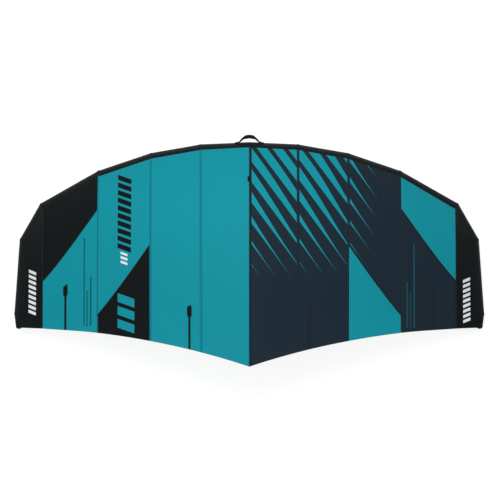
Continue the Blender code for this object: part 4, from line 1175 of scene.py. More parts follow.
def smooth_point(panel, across, share):
    """Straight across along the tube, and one soft curve from tip to tip further back."""
    knots, leans = knots_across(share)
    first, second = knots[panel], knots[panel + 1]
    soft = curved(first, second, leans[panel], leans[panel + 1], second.x - first.x, across)
    return mix(mix(first, second, across), soft, eased(share, 0.0, 0.4))


def tip_edge_point(share):
    """The tip panel's outer edge: along the tube, then on to the corner behind its end."""
    place = mix(TIP_PANEL, LAST_KINK, min(share / TIP_EDGE_SHARE, 1.0))
    point = tube_point(place, attach_angle(place), CLOTH_TOP)
    return mix(point, TIP_CORNER, max(share - TIP_EDGE_SHARE, 0.0) / (1 - TIP_EDGE_SHARE))


@functools.lru_cache(maxsize=None)
def tip_row(share):
    """The inner and the outer end of a line across the tip panel."""
    seam = SEAMS[TIP_PANEL]
    outer = tip_edge_point(share)
    return seam.point((seam.start.y - outer.y) / (seam.start.y - TIP_CORNER.y)), outer


@functools.lru_cache(maxsize=None)
def tip_share(seam_share):
    """The share of the tip panel's outer edge level with a share of its seam."""
    level = mix(SEAMS[TIP_PANEL].start.y, TIP_CORNER.y, seam_share)
    return first_share(lambda share: tip_edge_point(share).y <= level)


def panel_row(panel, share):
    """The inner and the outer end of a line across a panel."""
    if panel == TIP_PANEL:
        return tip_row(share)
    return knots_across(share)[0][panel : panel + 2]


def row_width(panel, share):
    """How far it is straight across a panel at a share of its seams."""
    inner, outer = panel_row(panel, share)
    return (outer - inner).length


def puckers(panel, across, share, side):
    """Small folds that die away from the seams and the tube, in metres."""
    length = SEAMS[panel].length
    wide = row_width(panel, share)
    nearest, far, back = min(across, 1 - across) * wide, length * share, length * (1 - share)
    place = (panel_row(panel, share)[0].x + wide * across) * side
    seam = (panel + (across > 0.5)) * side
    fold = noise.noise(Vector((far * 22, seam * 7.3, 0.0))) * SEAM_FOLD
    pull = noise.noise(Vector((place * 14, far * 1.6, 3.0))) * TUBE_FOLD
    slow = noise.noise(Vector((place * 2.2, far * 1.8, 8.0))) * SLOW_WAVE
    height = fold * fading(nearest, SEAM_FOLD_REACH) + pull * fading(far, TUBE_FOLD_REACH) + slow
    for distance, hold in ((nearest, SEAM_HOLD), (far, EDGE_HOLD), (back, EDGE_HOLD)):
        height *= 1 - fading(distance, hold)
    return height


def cloth_point(panel, across, share, lift=0.0, side=1):
    """A point on the canopy's upper face, on either half."""
    if panel == TIP_PANEL:
        point = mix(*tip_row(share), across)
    else:
        point = smooth_point(panel, across, share)
    return mirrored(point + RISE * (lift + puckers(panel, across, share, side)), side)


def beside_seam(seam, share, reach, lift, side):
    """A point beside a seam of one half: reach metres outward from it, or inward below zero."""
    panel = seam if reach >= 0 else seam - 1
    if panel < 0:
        panel, side, reach = 0, -side, -reach
    row = tip_share(share) if panel == TIP_PANEL else share
    across = min(abs(reach) / max(row_width(panel, row), 0.001), 1.0)
    return cloth_point(panel, across if reach >= 0 else 1 - across, row, lift, side)


def add_panel(word, side, finish, panel, suffix, low, high):
    """One cut of cloth, from low to high shares of the seams at its inner and outer side."""
    length = SEAMS[panel].length * (high[0] + high[1] - low[0] - low[1]) / 2
    if panel == TIP_PANEL:
        wide = TIP_PANEL_WIDTH
    else:
        first, second = SEAMS[panel], SEAMS[panel + 1]
        wide = (second.start.x + second.end.x - first.start.x - first.end.x) / 2

    def place(across, along):
        share = mix(mix(*low, across), mix(*high, across), along)
        return cloth_point(panel, across, share, 0.0, side)

    steps = math.ceil(wide / CLOTH_STEP), math.ceil(length * 1.08 / CLOTH_STEP)
    body = turned_to(grid_of(*steps, place, (wide, length)))
    if panel == TIP_PANEL:
        bmesh.ops.remove_doubles(body, verts=body.verts, dist=0.0001)
    area = sum(face.calc_area() for face in body.faces)
    node = f"canopy_{word}_{suffix}"
    piece = make_piece("cloth_" + node[7:], body, finish, "wing", [node], CLOTH)
    if panel < TIP_PANEL:
        name = f"seam_{word}_{panel + 1}_{suffix[2:] or 'side'}"
        seam_tape(name, panel + 1, side, low[1], high[1])
    if suffix.endswith("front"):
        slant_tape(f"join_{word}_{panel + 1}", panel, side, high, wide)
    long = max(length * CAMBER_EXCESS, area / wide * CUT_MARGIN)


def tape_of(place, width, length, way=UP):
    """A narrow strip of cloth that faces one way."""
    return turned_to(grid_of(4, math.ceil(length / TAPE_STEP), place, (width, length)), way)


def seam_tape(name, seam, side, low, high):
    """The tape over a seam, between two shares of it."""
    length = SEAMS[seam].length * (high - low)
    finish = DARK_SEAM if seam == TIP_PANEL else TEAL_SEAM if side < 0 else NAVY_SEAM

    def place(across, along):
        share = mix(low, high, along)
        reach = (across - 0.5) * SEAM_TAPE + SEAM_LAPS[seam]
        return beside_seam(seam, share, reach, SEAM_LIFT, side)

    return make_piece(name, tape_of(place, SEAM_TAPE, length), finish, wall=TAPE_WALL)


def slant_tape(name, panel, side, shares, wide):
    """The tape over a panel's slanting join."""
    first, second = [SEAMS[panel + i].point(shares[i]) for i in range(2)]
    length = (second - first).length
    half = SEAM_TAPE / 2 / SEAMS[panel].length * length / wide

    def place(across, along):
        share = mix(*shares, along) + mix(-half, half, across)
        return cloth_point(panel, along, share, SEAM_LIFT + 0.0002, side)

    return make_piece(name, tape_of(place, SEAM_TAPE, length), DARK_SEAM, wall=TAPE_WALL)


def add_middle_seam():
    """The seam between the halves, and the small sewn tab on it."""
    length = SEAMS[0].length
    width = SEAM_TAPE * 1.3

    def place(across, along):
        reach = (across - 0.5) * width + SEAM_LAPS[0]
        return beside_seam(0, along, reach, SEAM_LIFT + 0.0001, 1)

    make_piece("seam_middle", tape_of(place, width, length), DARK_SEAM, wall=TAPE_WALL)

    def tab_place(across, along):
        past = max(abs(along - 0.5) * 2 - TAB_STRAIGHT, 0.0)
        width = TAB_WIDTH * math.sqrt(1 - past**2 * TAB_ROUNDING)
        reach = TAB_PLACE + (across - 0.5) * width
        return beside_seam(0, mix(*TAB_SHARES, along), reach, TAB_LIFT, 1)

    body = turned_to(grid_of(8, 20, tab_place, (TAB_WIDTH, TAB_LENGTH)))
    make_piece("seam_tab", body, STRAP_TAPE, wall=TAB_WALL, edge=0.0003)


def add_hem(side, word):
    """The folded cloth that closes the canopy's front edge on to the tube, as far as the tip."""

    def place(across, along):
        spot = LAST_KINK * along
        kink = min(int(spot), LAST_KINK - 1)
        reach = mix(-HEM_ON_TUBE, mix(*HEM_ON_CLOTH[kink : kink + 2], spot - kink), across)
        if reach < 0:
            radius = mix(RINGS[kink].radius, RINGS[kink + 1].radius, spot - kink)
            angle = attach_angle(spot) + math.degrees(reach / radius)
            lift = mix(HEM_TUBE_LIFT, CLOTH_TOP + SEAM_LIFT, eased(reach, -HEM_STEP_UP, 0.0))
            return mirrored(tube_point(spot, angle, lift), side)
        if spot <= TIP_PANEL:
            panel = min(int(spot), TIP_PANEL - 1)
            share = reach / SEAMS[panel].length
            return cloth_point(panel, spot - panel, share, SEAM_LIFT, side)
        share = (spot - TIP_PANEL) / (LAST_KINK - TIP_PANEL) * TIP_EDGE_SHARE
        wide = max(row_width(TIP_PANEL, share), 0.001)
        return cloth_point(TIP_PANEL, 1 - min(reach / wide, 1.0), share, SEAM_LIFT, side)

    body = turned_to(grid_of(14, 50 * LAST_KINK, place, (HEM_WIDTH, HEM_LENGTH)))
    make_piece(f"hem_{word}", body, HEM, wall=HEM_WALL)


def edge_tape(frame_at, steps, length):
    """A folded tape round a free edge of the cloth."""
    half = (EDGE_TAPE_BEHIND + EDGE_TAPE_LAP) / 2
    middle = (EDGE_TAPE_BEHIND - EDGE_TAPE_LAP) / 2

    def place(turn, along):
        point, outward, up = frame_at(along)
        x, y = squared(turn, 0.5, 0.7)
        return point + outward * (x * half + middle) + up * (y * EDGE_TAPE_HALF - CLOTH / 2)

    return capped(grid_of(16, steps, place, (half * 4, length), closed=True))


def trailing_frame(along):
    """A point of the trailing edge, counted from the left, the way back and the way up."""
    spot = (along * 2 - 1) * (TIP_PANEL + 1)
    side = 1 if spot >= 0 else -1
    panel = min(int(abs(spot)), TIP_PANEL)
    across = abs(spot) - panel
    end = cloth_point(panel, across, 1.0, 0.0, side)
    ways = [(seam.end - seam.point(0.97)).normalized() for seam in (*SEAMS, SEAMS[-1])]
    back = mirrored(mix(ways[panel], ways[panel + 1], across).normalized(), side)
    return end, back, square_to(RISE, back)


def add_edges():
    body = edge_tape(trailing_frame, 40 * (TIP_PANEL + 1), EDGE_LENGTH)
    make_piece("edge_tape", body, EDGE, "wing", ["trailing_edge_tape"])
    for side, word in SIDES:

        def tip_frame(along):
            inner, outer = tip_row(mix(TIP_EDGE_SHARE - 0.01, 1.0, along))
            outward = mirrored((outer - inner).normalized(), side)
            return mirrored(outer, side), outward, square_to(RISE, outward)

        make_piece(f"tip_tape_{word}", edge_tape(tip_frame, 14, TIP_EDGE_LENGTH), EDGE)


def share_back(panel, across, length):
    """The share of the cloth at a distance in front of the trailing edge."""
    share, left, step = 1.0, length, 0.004
    while left > 0:
        near, far = smooth_point(panel, across, share), smooth_point(panel, across, share - step)
        left -= (near - far).length
        share -= step
    return share


def add_pocket(side, word, which):
    """The sewn pocket over a batten: a wide head with a slanting end, and a narrow strip."""
    panel, middle, length = POCKETS[which]
    start = share_back(panel, middle, length)
    wide = row_width(panel, 1.0)

    def place(across, along):
        distance = mix(POCKET_SLANT * (across - 0.5) * (1 - along) ** 4, length, along)
        neck = eased(distance, POCKET_HEAD, POCKET_HEAD + POCKET_NECK)
        round_in = mix(0.7, 1.0, eased(distance, -0.004, 0.012))
        reach = (across * 2 - 1) * mix(POCKET_HEAD_HALF, POCKET_HALF, neck) * round_in
        flat = eased(abs(reach), POCKET_FLAT_HALF, POCKET_HALF)
        ends = eased(distance, 0.0, 0.014) * eased(length - distance, 0.0, 0.008)
        lift = mix(POCKET_LOW, POCKET_HIGH, (1 - flat) * ends)
        share = mix(start, 1.0, distance / length)
        return cloth_point(panel, middle + reach / wide, share, lift, side)

    rows = math.ceil(length / POCKET_STEP)
    body = turned_to(grid_of(18, rows, place, (POCKET_HEAD_HALF * 2, length)))
    node = f"batten_pocket_{word}_{which}"
    make_piece("sewn_" + node[7:], body, POCKET_CLOTHS[word], "wing", [node], POCKET_WALL)


def add_batten(side, word, which):
    """The stiff strip inside a pocket."""
    panel, middle, length = POCKETS[which]
    start = share_back(panel, middle, length)
    wide = row_width(panel, 1.0)
    half = POCKET_FLAT_HALF - BATTEN_GAP

    def place(around, along):
        distance = mix(BATTEN_CLEAR, length - BATTEN_CLEAR, along)
        x, y = squared(around, 0.4)
        level = BATTEN_LEVEL + y * BATTEN_HALF
        share = mix(start, 1.0, distance / length)
        return cloth_point(panel, middle + x * half / wide, share, level, side)

    rows = math.ceil(length / 0.008)
    body = capped(grid_of(16, rows, place, (half * 4, length), closed=True))
    make_piece(f"strip_{word}_{which}", body, STRIP, "wing", [f"batten_{word}_{which}"])


def add_canopy(side, word, finishes):
    for finish, cut in zip(finishes, CUTS):
        add_panel(word, side, finish, *cut)
    add_hem(side, word)
    for which in POCKETS:
        add_pocket(side, word, which)
        add_batten(side, word, which)


# The tube's sleeves


def span_length(low, high):
    """The length of the tube between two kinks."""
    pairs = zip(RINGS[low:high], RINGS[low + 1 : high + 1])
    return sum((b.centre - a.centre).length for a, b in pairs)


def add_leading_edge(side, word):
    """Five sleeves a side. The last one runs round two kinks and closes at the tip."""
    spans = [(0, 1), (1, 2), (2, 3), (3, 4), (4, LAST_KINK + 2)]
    for number, (low, high) in enumerate(spans, 1):

        def place(around, along):
            return mirrored(wrinkled_tube_point(mix(low, high, along), 360 * around), side)

        length = span_length(low, high)
        rows = math.ceil(length / TUBE_ROW)
        rows += -rows % (high - low)
        body = grid_of(90, rows, place, (math.tau * RINGS[low].radius, length), closed=True)
        node = f"leading_edge_{word}_{number}"
        sleeve = make_piece(f"sleeve_{word}_{number}", body, SLEEVE, "wing", [node], SLEEVE_WALL)
        if (side, number) == (-1, 1):
            bore(sleeve)
    for kink in range(1, LAST_KINK + 1):
        add_band(side, word, kink)


def bore(sleeve):
    """The valve's hole through a sleeve."""
    radius, low, high = COLLAR_RADIUS + BORE_GAP, -0.03, 0.02
    hole = [(0.0, low), (radius, low), (radius, high), (0.0, high)]
    body = spun(hole, VALVE_SEAT, VALVE_AXIS, VALVE_SIDE, False)
    drill = in_scene("drill", mesh_of("drill", body))
    cut = sleeve.modifiers.new("hole", "BOOLEAN")
    cut.operation = "DIFFERENCE"
    cut.object = drill
    bpy.context.view_layer.update()
    seen = sleeve.evaluated_get(bpy.context.evaluated_depsgraph_get())
    bored = bpy.data.meshes.new_from_object(seen)
    sleeve.modifiers.clear()
    sleeve.data = bored
    bpy.data.objects.remove(drill)


def add_band(side, word, kink):
    """The sewn tape over the joint at a kink, open under the canopy's seam."""
    attach = ATTACH_ANGLES[kink]
    before, after = span_length(kink - 1, kink), span_length(kink, kink + 1)

    def place(across, along):
        reach = (across - 0.5) * TUBE_BAND
        spot = kink + reach / (before if reach < 0 else after)
        return mirrored(tube_point(spot, attach - 352 + along * 350, BAND_LIFT), side)

    body = grid_of(4, 90, place, (TUBE_BAND, math.tau * RINGS[kink].radius))
    turned_from(body, mirrored(RINGS[kink].centre, side))
    make_piece(f"band_{word}_{kink}", body, BAND, wall=TAPE_WALL)


def on_tube(point, lift, side=1):
    """The nearest point of the tube's first stretch, with a lift."""
    near, far = RINGS[0], RINGS[1]
    start = near.centre
    along = (far.centre - start).normalized()
    point = mirrored(point, side)
    reach = (point - start).dot(along)
    radius = mix(near.radius, far.radius, reach / (far.centre - start).length)
    axis = start + along * reach
    return mirrored(axis + (point - axis).normalized() * (radius + lift), side)


# The strut


@functools.lru_cache(maxsize=None)
def strut_frame(share):
    """The strut's centre, its way up and its radius at a share of the middle seam."""
    seam = SEAMS[0]
    along = seam.point(min(share + 0.004, 1.0)) - seam.point(max(share - 0.004, 0.0))
    up = SIDEWAYS.cross(along).normalized()
    up = up if up.z > 0 else -up
    radius = STRUT_RADIUS * mix(1.0, STRUT_TAIL_SHARE, eased(share, STRUT_TAPER_START, 1.0))
    return seam.point(share) - up * (radius + STRUT_DROP), up, radius


def strut_point(share, angle, lift=0.0):
    """A point on the strut's skin. 0 degrees is to the right and 90 is up."""
    centre, up, radius = strut_frame(share)
    close = dome((STRUT_END - share) * SEAMS[0].length, STRUT_ROUND)
    way = way_at(math.radians(angle), SIDEWAYS, up)
    return centre + up * ((1 - close) * radius) + way * (radius * close + lift)


def outside_tube(point):
    """Whether a point near the middle is outside the leading edge tube."""
    side = 1 if point.x >= 0 else -1
    return (point - on_tube(point, 0.0, side)).dot(point - RINGS[0].centre) > 0


@functools.lru_cache(maxsize=None)
def mouth_share(angle):
    """Where the strut's skin leaves the tube's, at an angle round it."""
    return first_share(lambda share: outside_tube(strut_point(share, angle)), 0.2)


def strut_share(back):
    """The share of the middle seam at a distance behind the middle of the tube."""
    return first_share(lambda share: RINGS[0].centre.y - strut_frame(share)[0].y >= back)


def add_strut():
    length = SEAMS[0].length

    def front(around, along):
        depth = noise_round(math.tau * around, 3, along * 2) * STRUT_MOUTH_FOLD
        depth *= fading(along, STRUT_FOLD_REACH) * eased(along, 0, STRUT_FOLD_START)
        share = mix(mouth_share(360 * around), STRUT_JOIN, along)
        return strut_point(share, 360 * around, depth)

    def rear(around, along):
        even = 1 - (1 - along) ** 1.5
        return strut_point(mix(STRUT_JOIN, STRUT_END, even), 360 * around)

    girth = math.tau * STRUT_RADIUS
    sleeves = (("front", front, STRUT_JOIN), ("rear", rear, STRUT_END - STRUT_JOIN))
    for word, place, share in sleeves:
        rows = math.ceil(share * length / TUBE_ROW)
        body = grid_of(72, rows, place, (girth, share * length), closed=True)
        name, node = f"sleeve_strut_{word}", f"strut_{word}"
        sleeve = make_piece(name, body, SLEEVE, "wing", [node], SLEEVE_WALL)
    add_strut_bladder()
    add_strut_tapes(length)


def add_strut_bladder():
    """The film tube inside the strut, round at both ends."""
    start, end = BLADDER_SHARES

    def place(around, along):
        share = mix(start, end, 0.5 - 0.5 * math.cos(math.pi * along))
        centre, up, radius = strut_frame(share)
        close = dome(min(share - start, end - share) * SEAMS[0].length, radius)
        way = way_at(math.tau * around, SIDEWAYS, up)
        return centre + way * ((radius - BLADDER_INSET) * close)

    size = math.tau * STRUT_RADIUS, (end - start) * SEAMS[0].length
    body = grid_of(48, 150, place, size, closed=True)
    make_piece("strut_tube_film", body, FILM, "wing", ["strut_bladder"])


def add_strut_tapes(length):
    """The rings of tape round the strut, and the webs between it and the canopy."""

    for name, middle in STRUT_TAPES.items():

        def ring(across, along):
            angle = TAPE_START + TAPE_TURN * along
            if name == "mouth":
                share = mouth_share(angle) + across * MOUTH_TAPE_WIDTH / length
            else:
                share = middle + (across - 0.5) * TUBE_BAND / length
            return strut_point(share, angle, BAND_LIFT)

        body = turned_from(grid_of(4, 72, ring, (TUBE_BAND, 0.45)), strut_frame(middle)[0])
        make_piece(f"strut_tape_{name}", body, BAND, wall=TAPE_WALL)
    foot = 90 - math.degrees(math.asin(WEB_FOOT))
    for side, word in SIDES:

        def web(across, along):
            share = mix(*WEB_SHARES, along)
            reach = WEB_HEAD * strut_frame(share)[2] + WEB_HEAD_REACH
            low = strut_point(share, foot, 0.0004)
            high = beside_seam(0, share, reach, -CLOTH - 0.0002, 1)
            bulge = SIDEWAYS * (WEB_BULGE * math.sin(across * math.pi))
            return mirrored(mix(low, high, across) - bulge, side)

        body = tape_of(web, 0.01, 0.92 * length, SIDEWAYS * side)
        make_piece(f"strut_web_{word}", body, BAND, wall=WEB_WALL)


def patch_of(point_at, half, length, out):
    """A sewn patch with round corners. Its point_at takes metres aside and metres along."""
    corner = min(half * 0.6, PATCH_CORNER)

    def place(across, along):
        distance = length * along
        round_in = corner * (1 - dome(min(distance, length - distance), corner))
        return point_at((across * 2 - 1) * (half - round_in), distance)

    return turned_to(grid_of(14, math.ceil(length / 0.004), place, (half * 2, length)), out)


def add_strut_patches():
    for word, (start, end) in HANDLE_PATCHES.items():
        low, high = strut_share(start), strut_share(end)
        length = end - start

        def under(aside, distance):
            share = mix(low, high, distance / length)
            radius = strut_frame(share)[2]
            return strut_point(share, 270 + math.degrees(aside / radius), PATCH_LIFT)

        finish = box_stitched(f"patch_cloth_{word}", HANDLE_PATCH_HALF, length)
        body = patch_of(under, HANDLE_PATCH_HALF, length, -UP)
        node = f"strut_patch_{word}"
        make_piece(f"sewn_{node}", body, finish, "wing", [node], PATCH_WALL)


def add_loop_handle():
    """The carrying handle that stands on the front of the tube, and its patch."""
    half_length, width = LOOP_PATCH
    span = span_length(0, 1)

    def front(aside, distance):
        reach = distance - half_length
        angle = LOOP_ANGLE + math.degrees(aside / RINGS[0].radius)
        side = 1 if reach >= 0 else -1
        return mirrored(tube_point(abs(reach) / span, angle, LOOP_PATCH_LIFT), side)

    finish = box_stitched("patch_cloth_loop", width / 2, half_length * 2)
    body = patch_of(front, width / 2, half_length * 2, LOOP_REACH)
    make_piece("sewn_loop_patch", body, finish, "wing", ["loop_handle_patch"], LOOP_PATCH_WALL)
    sizes = LOOP_HALF, LOOP_HEIGHT, LOOP_FILLET, LOOP_FOOT
    points = arch_points(LOOP_MIDDLE, SIDEWAYS, LOOP_REACH, *sizes)
    for place, reach in enumerate((LOOP_FOOT, LOOP_FOOT * 0.85)):
        foot = tube_point(reach / span, LOOP_ANGLE, LOOP_FOOT_LIFT)
        points[place], points[-1 - place] = mirrored(foot, -1), foot
    route = Route(points, LOOP_REACH.cross(SIDEWAYS))

    def section(distance):
        left = min(distance, route.length - distance)
        sewn = 1 - eased(left, *LOOP_SEWN)
        padded = mix(LOOP_RADIUS, LOOP_PADDED, eased(left, *LOOP_PAD_START))
        return mix(padded, LOOP_FOOT_HALF, sewn), mix(padded, LOOP_FOOT_THICK, sewn), sewn

    loop = make_piece("carrying_loop", swept(route, section), WEBBING, None, ["loop_handle"])
    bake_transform(loop)


def strap_section(length):
    """Round where the strap is sewn down, and flat webbing from where it has left the strut."""

    def section(distance):
        left = min(distance, length - distance)
        flat = eased(left, HANDLE_FOOT + 0.02, HANDLE_FOOT + 0.055)
        return mix(STRAP_RADIUS, WEBBING_HALF, flat), mix(STRAP_RADIUS, WEBBING_THICK, flat), flat

    return section


def grip_section(length):
    """Foam with round shoulders, a full middle and four shallow finger hollows."""

    def section(distance):
        left = min(distance, length - distance)
        start = GRIP_SHOULDER[0]
        full = mix(GRIP_END_RADIUS, GRIP_RADIUS, eased(left, *GRIP_SHOULDER))
        wave = math.sin(max(left - start, 0.0) / GRIP_HOLLOW_PITCH * math.pi) ** 2
        radius = full - GRIP_HOLLOW * wave * eased(left, start, 0.03)
        return radius, radius, 0.0

    return section


def add_handles():
    """The two straps under the strut, each with its foam grip and the grip's end bands."""
    for word, (start, end) in HANDLES.items():
        along = (end - start).normalized()
        reach = along.cross(SIDEWAYS).normalized()
        reach = -reach if reach.z > 0 else reach
        rides = f"{word}_handle"
        route = Route(bow_points(start, end, reach), SIDEWAYS)
        body = swept(route, strap_section(route.length))
        make_piece(f"strap_{word}", body, WEBBING, rides, [f"{word}_handle_strap"])
        low = start + along * GRIP_INSET + reach * HANDLE_DEPTH
        high = end - along * GRIP_INSET + reach * HANDLE_DEPTH
        line = Route([mix(low, high, i / 8) for i in range(9)], SIDEWAYS)
        body = swept(line, grip_section(line.length), 40, 0.002, 0.004)
        grip = make_piece(f"grip_{word}", body, FOAM, rides, [f"{word}_handle_grip"])
        ends = GRIP_BAND_PLACE, line.length - GRIP_BAND_PLACE
        for number, distance in enumerate(ends, 1):
            body = spun(GRIP_BAND, line.point(distance), along, SIDEWAYS, steps=48)
            make_piece(f"grip_{word}_band_{number}", body, RUBBER, rides)


def add_leash_loop():
    """A closed loop of braided cord that hangs from the front patch."""
    top_corner, low_corner = LEASH_TOP_CORNER, LEASH_LOW_CORNER
    top = LEASH_MIDDLE + SIDEWAYS * (LEASH_HALF - top_corner) - UP * top_corner
    low = LEASH_MIDDLE + SIDEWAYS * (LEASH_HALF - low_corner) - UP * (LEASH_DEPTH - low_corner)
    right = turn_points(top, UP, SIDEWAYS, top_corner, 0.0, math.pi / 2, 5)
    right += turn_points(low, SIDEWAYS, -UP, low_corner, 0.0, math.pi / 2, 7)
    points = right + mirrored_about(right[::-1], LEASH_MIDDLE, SIDEWAYS)
    route = Route(points, FORWARD, closed=True)
    body = swept(route, lambda distance: (LEASH_RADIUS, LEASH_RADIUS, 0.0), 16, 0.0015)
    make_piece("leash_cord", body, BRAID, "leash_loop", ["leash_loop"])
    end, half = LEASH_MIDDLE - UP * LEASH_DEPTH, SIDEWAYS * LEASH_SLEEVE_HALF
    radius = LEASH_SLEEVE_RADIUS
    sleeve = Route([end - half, end, end + half], FORWARD)
    body = swept(sleeve, lambda distance: (radius, radius, 0.0), 20, 0.001)
    make_piece("leash_sleeve", body, RUBBER, "leash_loop")


def add_tip_pads():
    """Rubber cradles under the tips, flat where the wing lies on them."""
    for side, word in SIDES:

        def place(around, along):
            share = mix(*PAD_SHARES, along)
            radius = mix(RINGS[LAST_KINK - 1].radius, RINGS[LAST_KINK].radius, share)
            low = tube_point(LAST_KINK - 1 + share, 270)
            reach = mix(-PAD_HALF, PAD_HALF, 1 - abs(around * 2 - 1))
            if around <= 0.5:
                height = max(abs(reach) - PAD_HALF + PAD_EDGE, 0.0) ** 2 * PAD_EDGE_CURVE
            else:
                height = low.z - PAD_GAP + radius - math.sqrt(radius**2 - reach**2)
            return mirrored(Vector((low.x + reach, low.y, height)), side)

        body = capped(grid_of(40, 60, place, (0.07, PAD_LENGTH), closed=True))
        make_piece(f"pad_{word}", body, PAD, "wing", [f"tip_pad_{word}"], sharp=50)


# The inflation valve


def add_disc_patch(name, seat, axis, side, surface, inner, outer):
    """A welded round patch round what goes through a skin."""
    other = axis.cross(side)

    def place(around, out):
        flat = seat + way_at(math.tau * around, side, other) * mix(inner, outer, out)
        return surface(flat, DISC_LIFT - DISC_RIM_DROP * eased(out, 0.85, 1.0))

    body = grid_of(72, 8, place, (math.tau * outer, outer - inner), closed=True)
    make_piece(name, turned_to(body, axis), WELD, wall=DISC_WALL)


def add_valve():
    """The valve's collar, patch, turning insert with its lugs, cap, cap ring and flap."""
    place = VALVE_SEAT, VALVE_AXIS, VALVE_SIDE
    seat, axis, side = place
    other = axis.cross(side)

    def skin(point, lift):
        return on_tube(point, lift, -1)

    add_disc_patch("valve_patch", *place, skin, *COLLAR_PATCH)
    collar, insert = spun(COLLAR_PROFILE, *place), spun(INSERT_PROFILE, *place)
    make_piece("collar", collar, PLASTIC, "wing", ["valve_collar"], edge=0.0004)
    make_piece("insert", insert, PLASTIC, "valve_body", ["valve_body"], edge=0.0003)
    for number in range(4):
        way = way_at(math.tau * number / 4 + LUG_TURN, side, other)
        lug = slab(seat, (way, axis.cross(way), axis), *INSERT_LUG)
        make_piece(f"insert_lug_{number + 1}", lug, PLASTIC, "valve_body", edge=0.0004)
    add_valve_cap(seat, axis, side)
    refined("cap_ring", "valve_cap_ring", PLASTIC, "wing", 0.0003)
    dress(RUBBER, "valve_flap")


def add_valve_cap(seat, axis, side):
    """The dust cap: a dished disc with a hollow plug, a ribbed pull tab and a hinge barrel."""
    other = axis.cross(side)
    axes = side, other, axis
    profile = [(radius, CAP_BASE + height) for radius, height in CAP_PROFILE]
    cap = spun(profile, seat, axis, side, closed=False)
    make_piece("cap", cap, PLASTIC, "valve_cap", ["valve_cap"], edge=0.0003)
    base = seat + axis * CAP_BASE
    make_piece("cap_tab", slab(base, axes, *CAP_TAB), PLASTIC, "valve_cap", edge=0.0006)
    for number in range(3):
        rib = slab(base + side * (CAP_RIB_PITCH * number), axes, *CAP_TAB_RIB)
        make_piece(f"cap_tab_rib_{number + 1}", rib, PLASTIC, "valve_cap", edge=0.0003)
    make_piece("cap_tongue", slab(base, axes, *CAP_TONGUE), PLASTIC, "valve_cap", edge=0.0003)
    hinge = base + side * CAP_HINGE_PLACE + axis * CAP_HINGE_HEIGHT
    barrel = spun(CAP_BARREL, hinge, other, side, False, 32)
    make_piece("cap_barrel", barrel, PLASTIC, "valve_cap", edge=0.0004)


# The air hose and its clip


def add_hose():
    """The ribbed hose from the tube to the strut, with its clamps, patches, spouts and clip."""
    route = Route(HOSE_ROUTE, HOSE_FIRST_WAY.cross(-HOSE_LAST_WAY).normalized())

    def place(turn, along):
        distance = route.length * along
        ribbed = eased(min(distance, route.length - distance), *HOSE_RIB_START)
        rib = math.cos(math.tau * distance / HOSE_RIB) * HOSE_RIB_HALF - HOSE_RIB_SINK
        point, beside, over = route.frame(distance)
        return point + way_at(math.tau * turn, beside, over) * (HOSE_RADIUS + rib * ribbed)

    rows = math.ceil(route.length / HOSE_RIB * 4)
    body = grid_of(28, rows, place, (math.tau * HOSE_RADIUS, route.length), closed=True)
    hose = make_piece("hose", body, HOSE, "wing", ["air_hose"], wall=HOSE_WALL)
    path = [tuple(route.point(route.length * i / 60)) for i in range(61)]
    clamps = add_clamp("front", HOSE_FIRST, HOSE_FIRST_WAY)
    clamps += add_clamp("rear", HOSE_LAST, HOSE_LAST_WAY)
    first = HOSE_FIRST, HOSE_FIRST_WAY, SIDEWAYS
    add_disc_patch("hose_patch", *first, on_tube, *HOSE_PATCH)
    last = HOSE_LAST, HOSE_LAST_WAY, square_to(FORWARD, HOSE_LAST_WAY)
    add_disc_patch("strut_hose_patch", *last, on_strut, *HOSE_PATCH)
    refined("clip_lower", "clip_fixed_arm", CLIP, "wing", 0.0005)
    refined("clip_upper", "clip_swing_arm", CLIP, "clip_arm", 0.0005)
    dress(PLASTIC, "tube_spout", "strut_spout")


def on_strut(point, lift):
    """The nearest point of the strut, with a lift."""
    share = strut_share(RINGS[0].centre.y - point.y)
    centre, up, radius = strut_frame(share)
    along = (strut_frame(share + 0.01)[0] - centre).normalized()
    return centre + square_to(point - centre, along) * (radius + lift)


def add_clamp(name, seat, way):
    """A band clamp with rolled edges, a screw housing and its screw."""
    side = square_to(-UP, way)
    other = way.cross(side)
    band = spun(CLAMP_BAND, seat, way, side, steps=64)
    housing = slab(seat, (side, other, way), *CLAMP_HOUSING)
    middle = seat + side * CLAMP_SCREW_REACH + way * CLAMP_MIDDLE
    screw = spun(CLAMP_SCREW, middle, other, side, False, 32)
    node = f"hose_clamp_{name}"
    return [
        make_piece(f"clamp_{name}_band", band, STEEL, "wing", [node], edge=0.0002),
        make_piece(f"clamp_{name}_housing", housing, STEEL, edge=0.0008),
        make_piece(f"clamp_{name}_screw", screw, STEEL, edge=0.0002),
    ]


# The stage


def add_camera():
    data = bpy.data.cameras.new("camera")
    slant = math.radians(VIEW_ELEVATION)
    back = Vector((0, -math.cos(slant), math.sin(slant)))
    data.sensor_width = SENSOR_WIDTH
    data.lens = SENSOR_WIDTH * VIEW_DISTANCE / VIEW_WIDTH
    data.clip_start, data.clip_end = 1.0, 500.0
    camera = in_scene("camera", data)
    camera.location = VIEW_TARGET + back * VIEW_DISTANCE
    camera.rotation_euler = (math.pi / 2 - slant, 0.0, 0.0)
    bpy.context.scene.camera = camera


def add_lamp():
    data = bpy.data.lights.new("softbox", "AREA")
    data.shape = "SQUARE"
    data.size = LAMP_SIZE
    data.energy = LAMP_POWER
    lamp = in_scene("softbox", data)
    lamp.location = LAMP_PLACE
    lamp.rotation_euler = (LAMP_AIM - LAMP_PLACE).to_track_quat("-Z", "Y").to_euler()


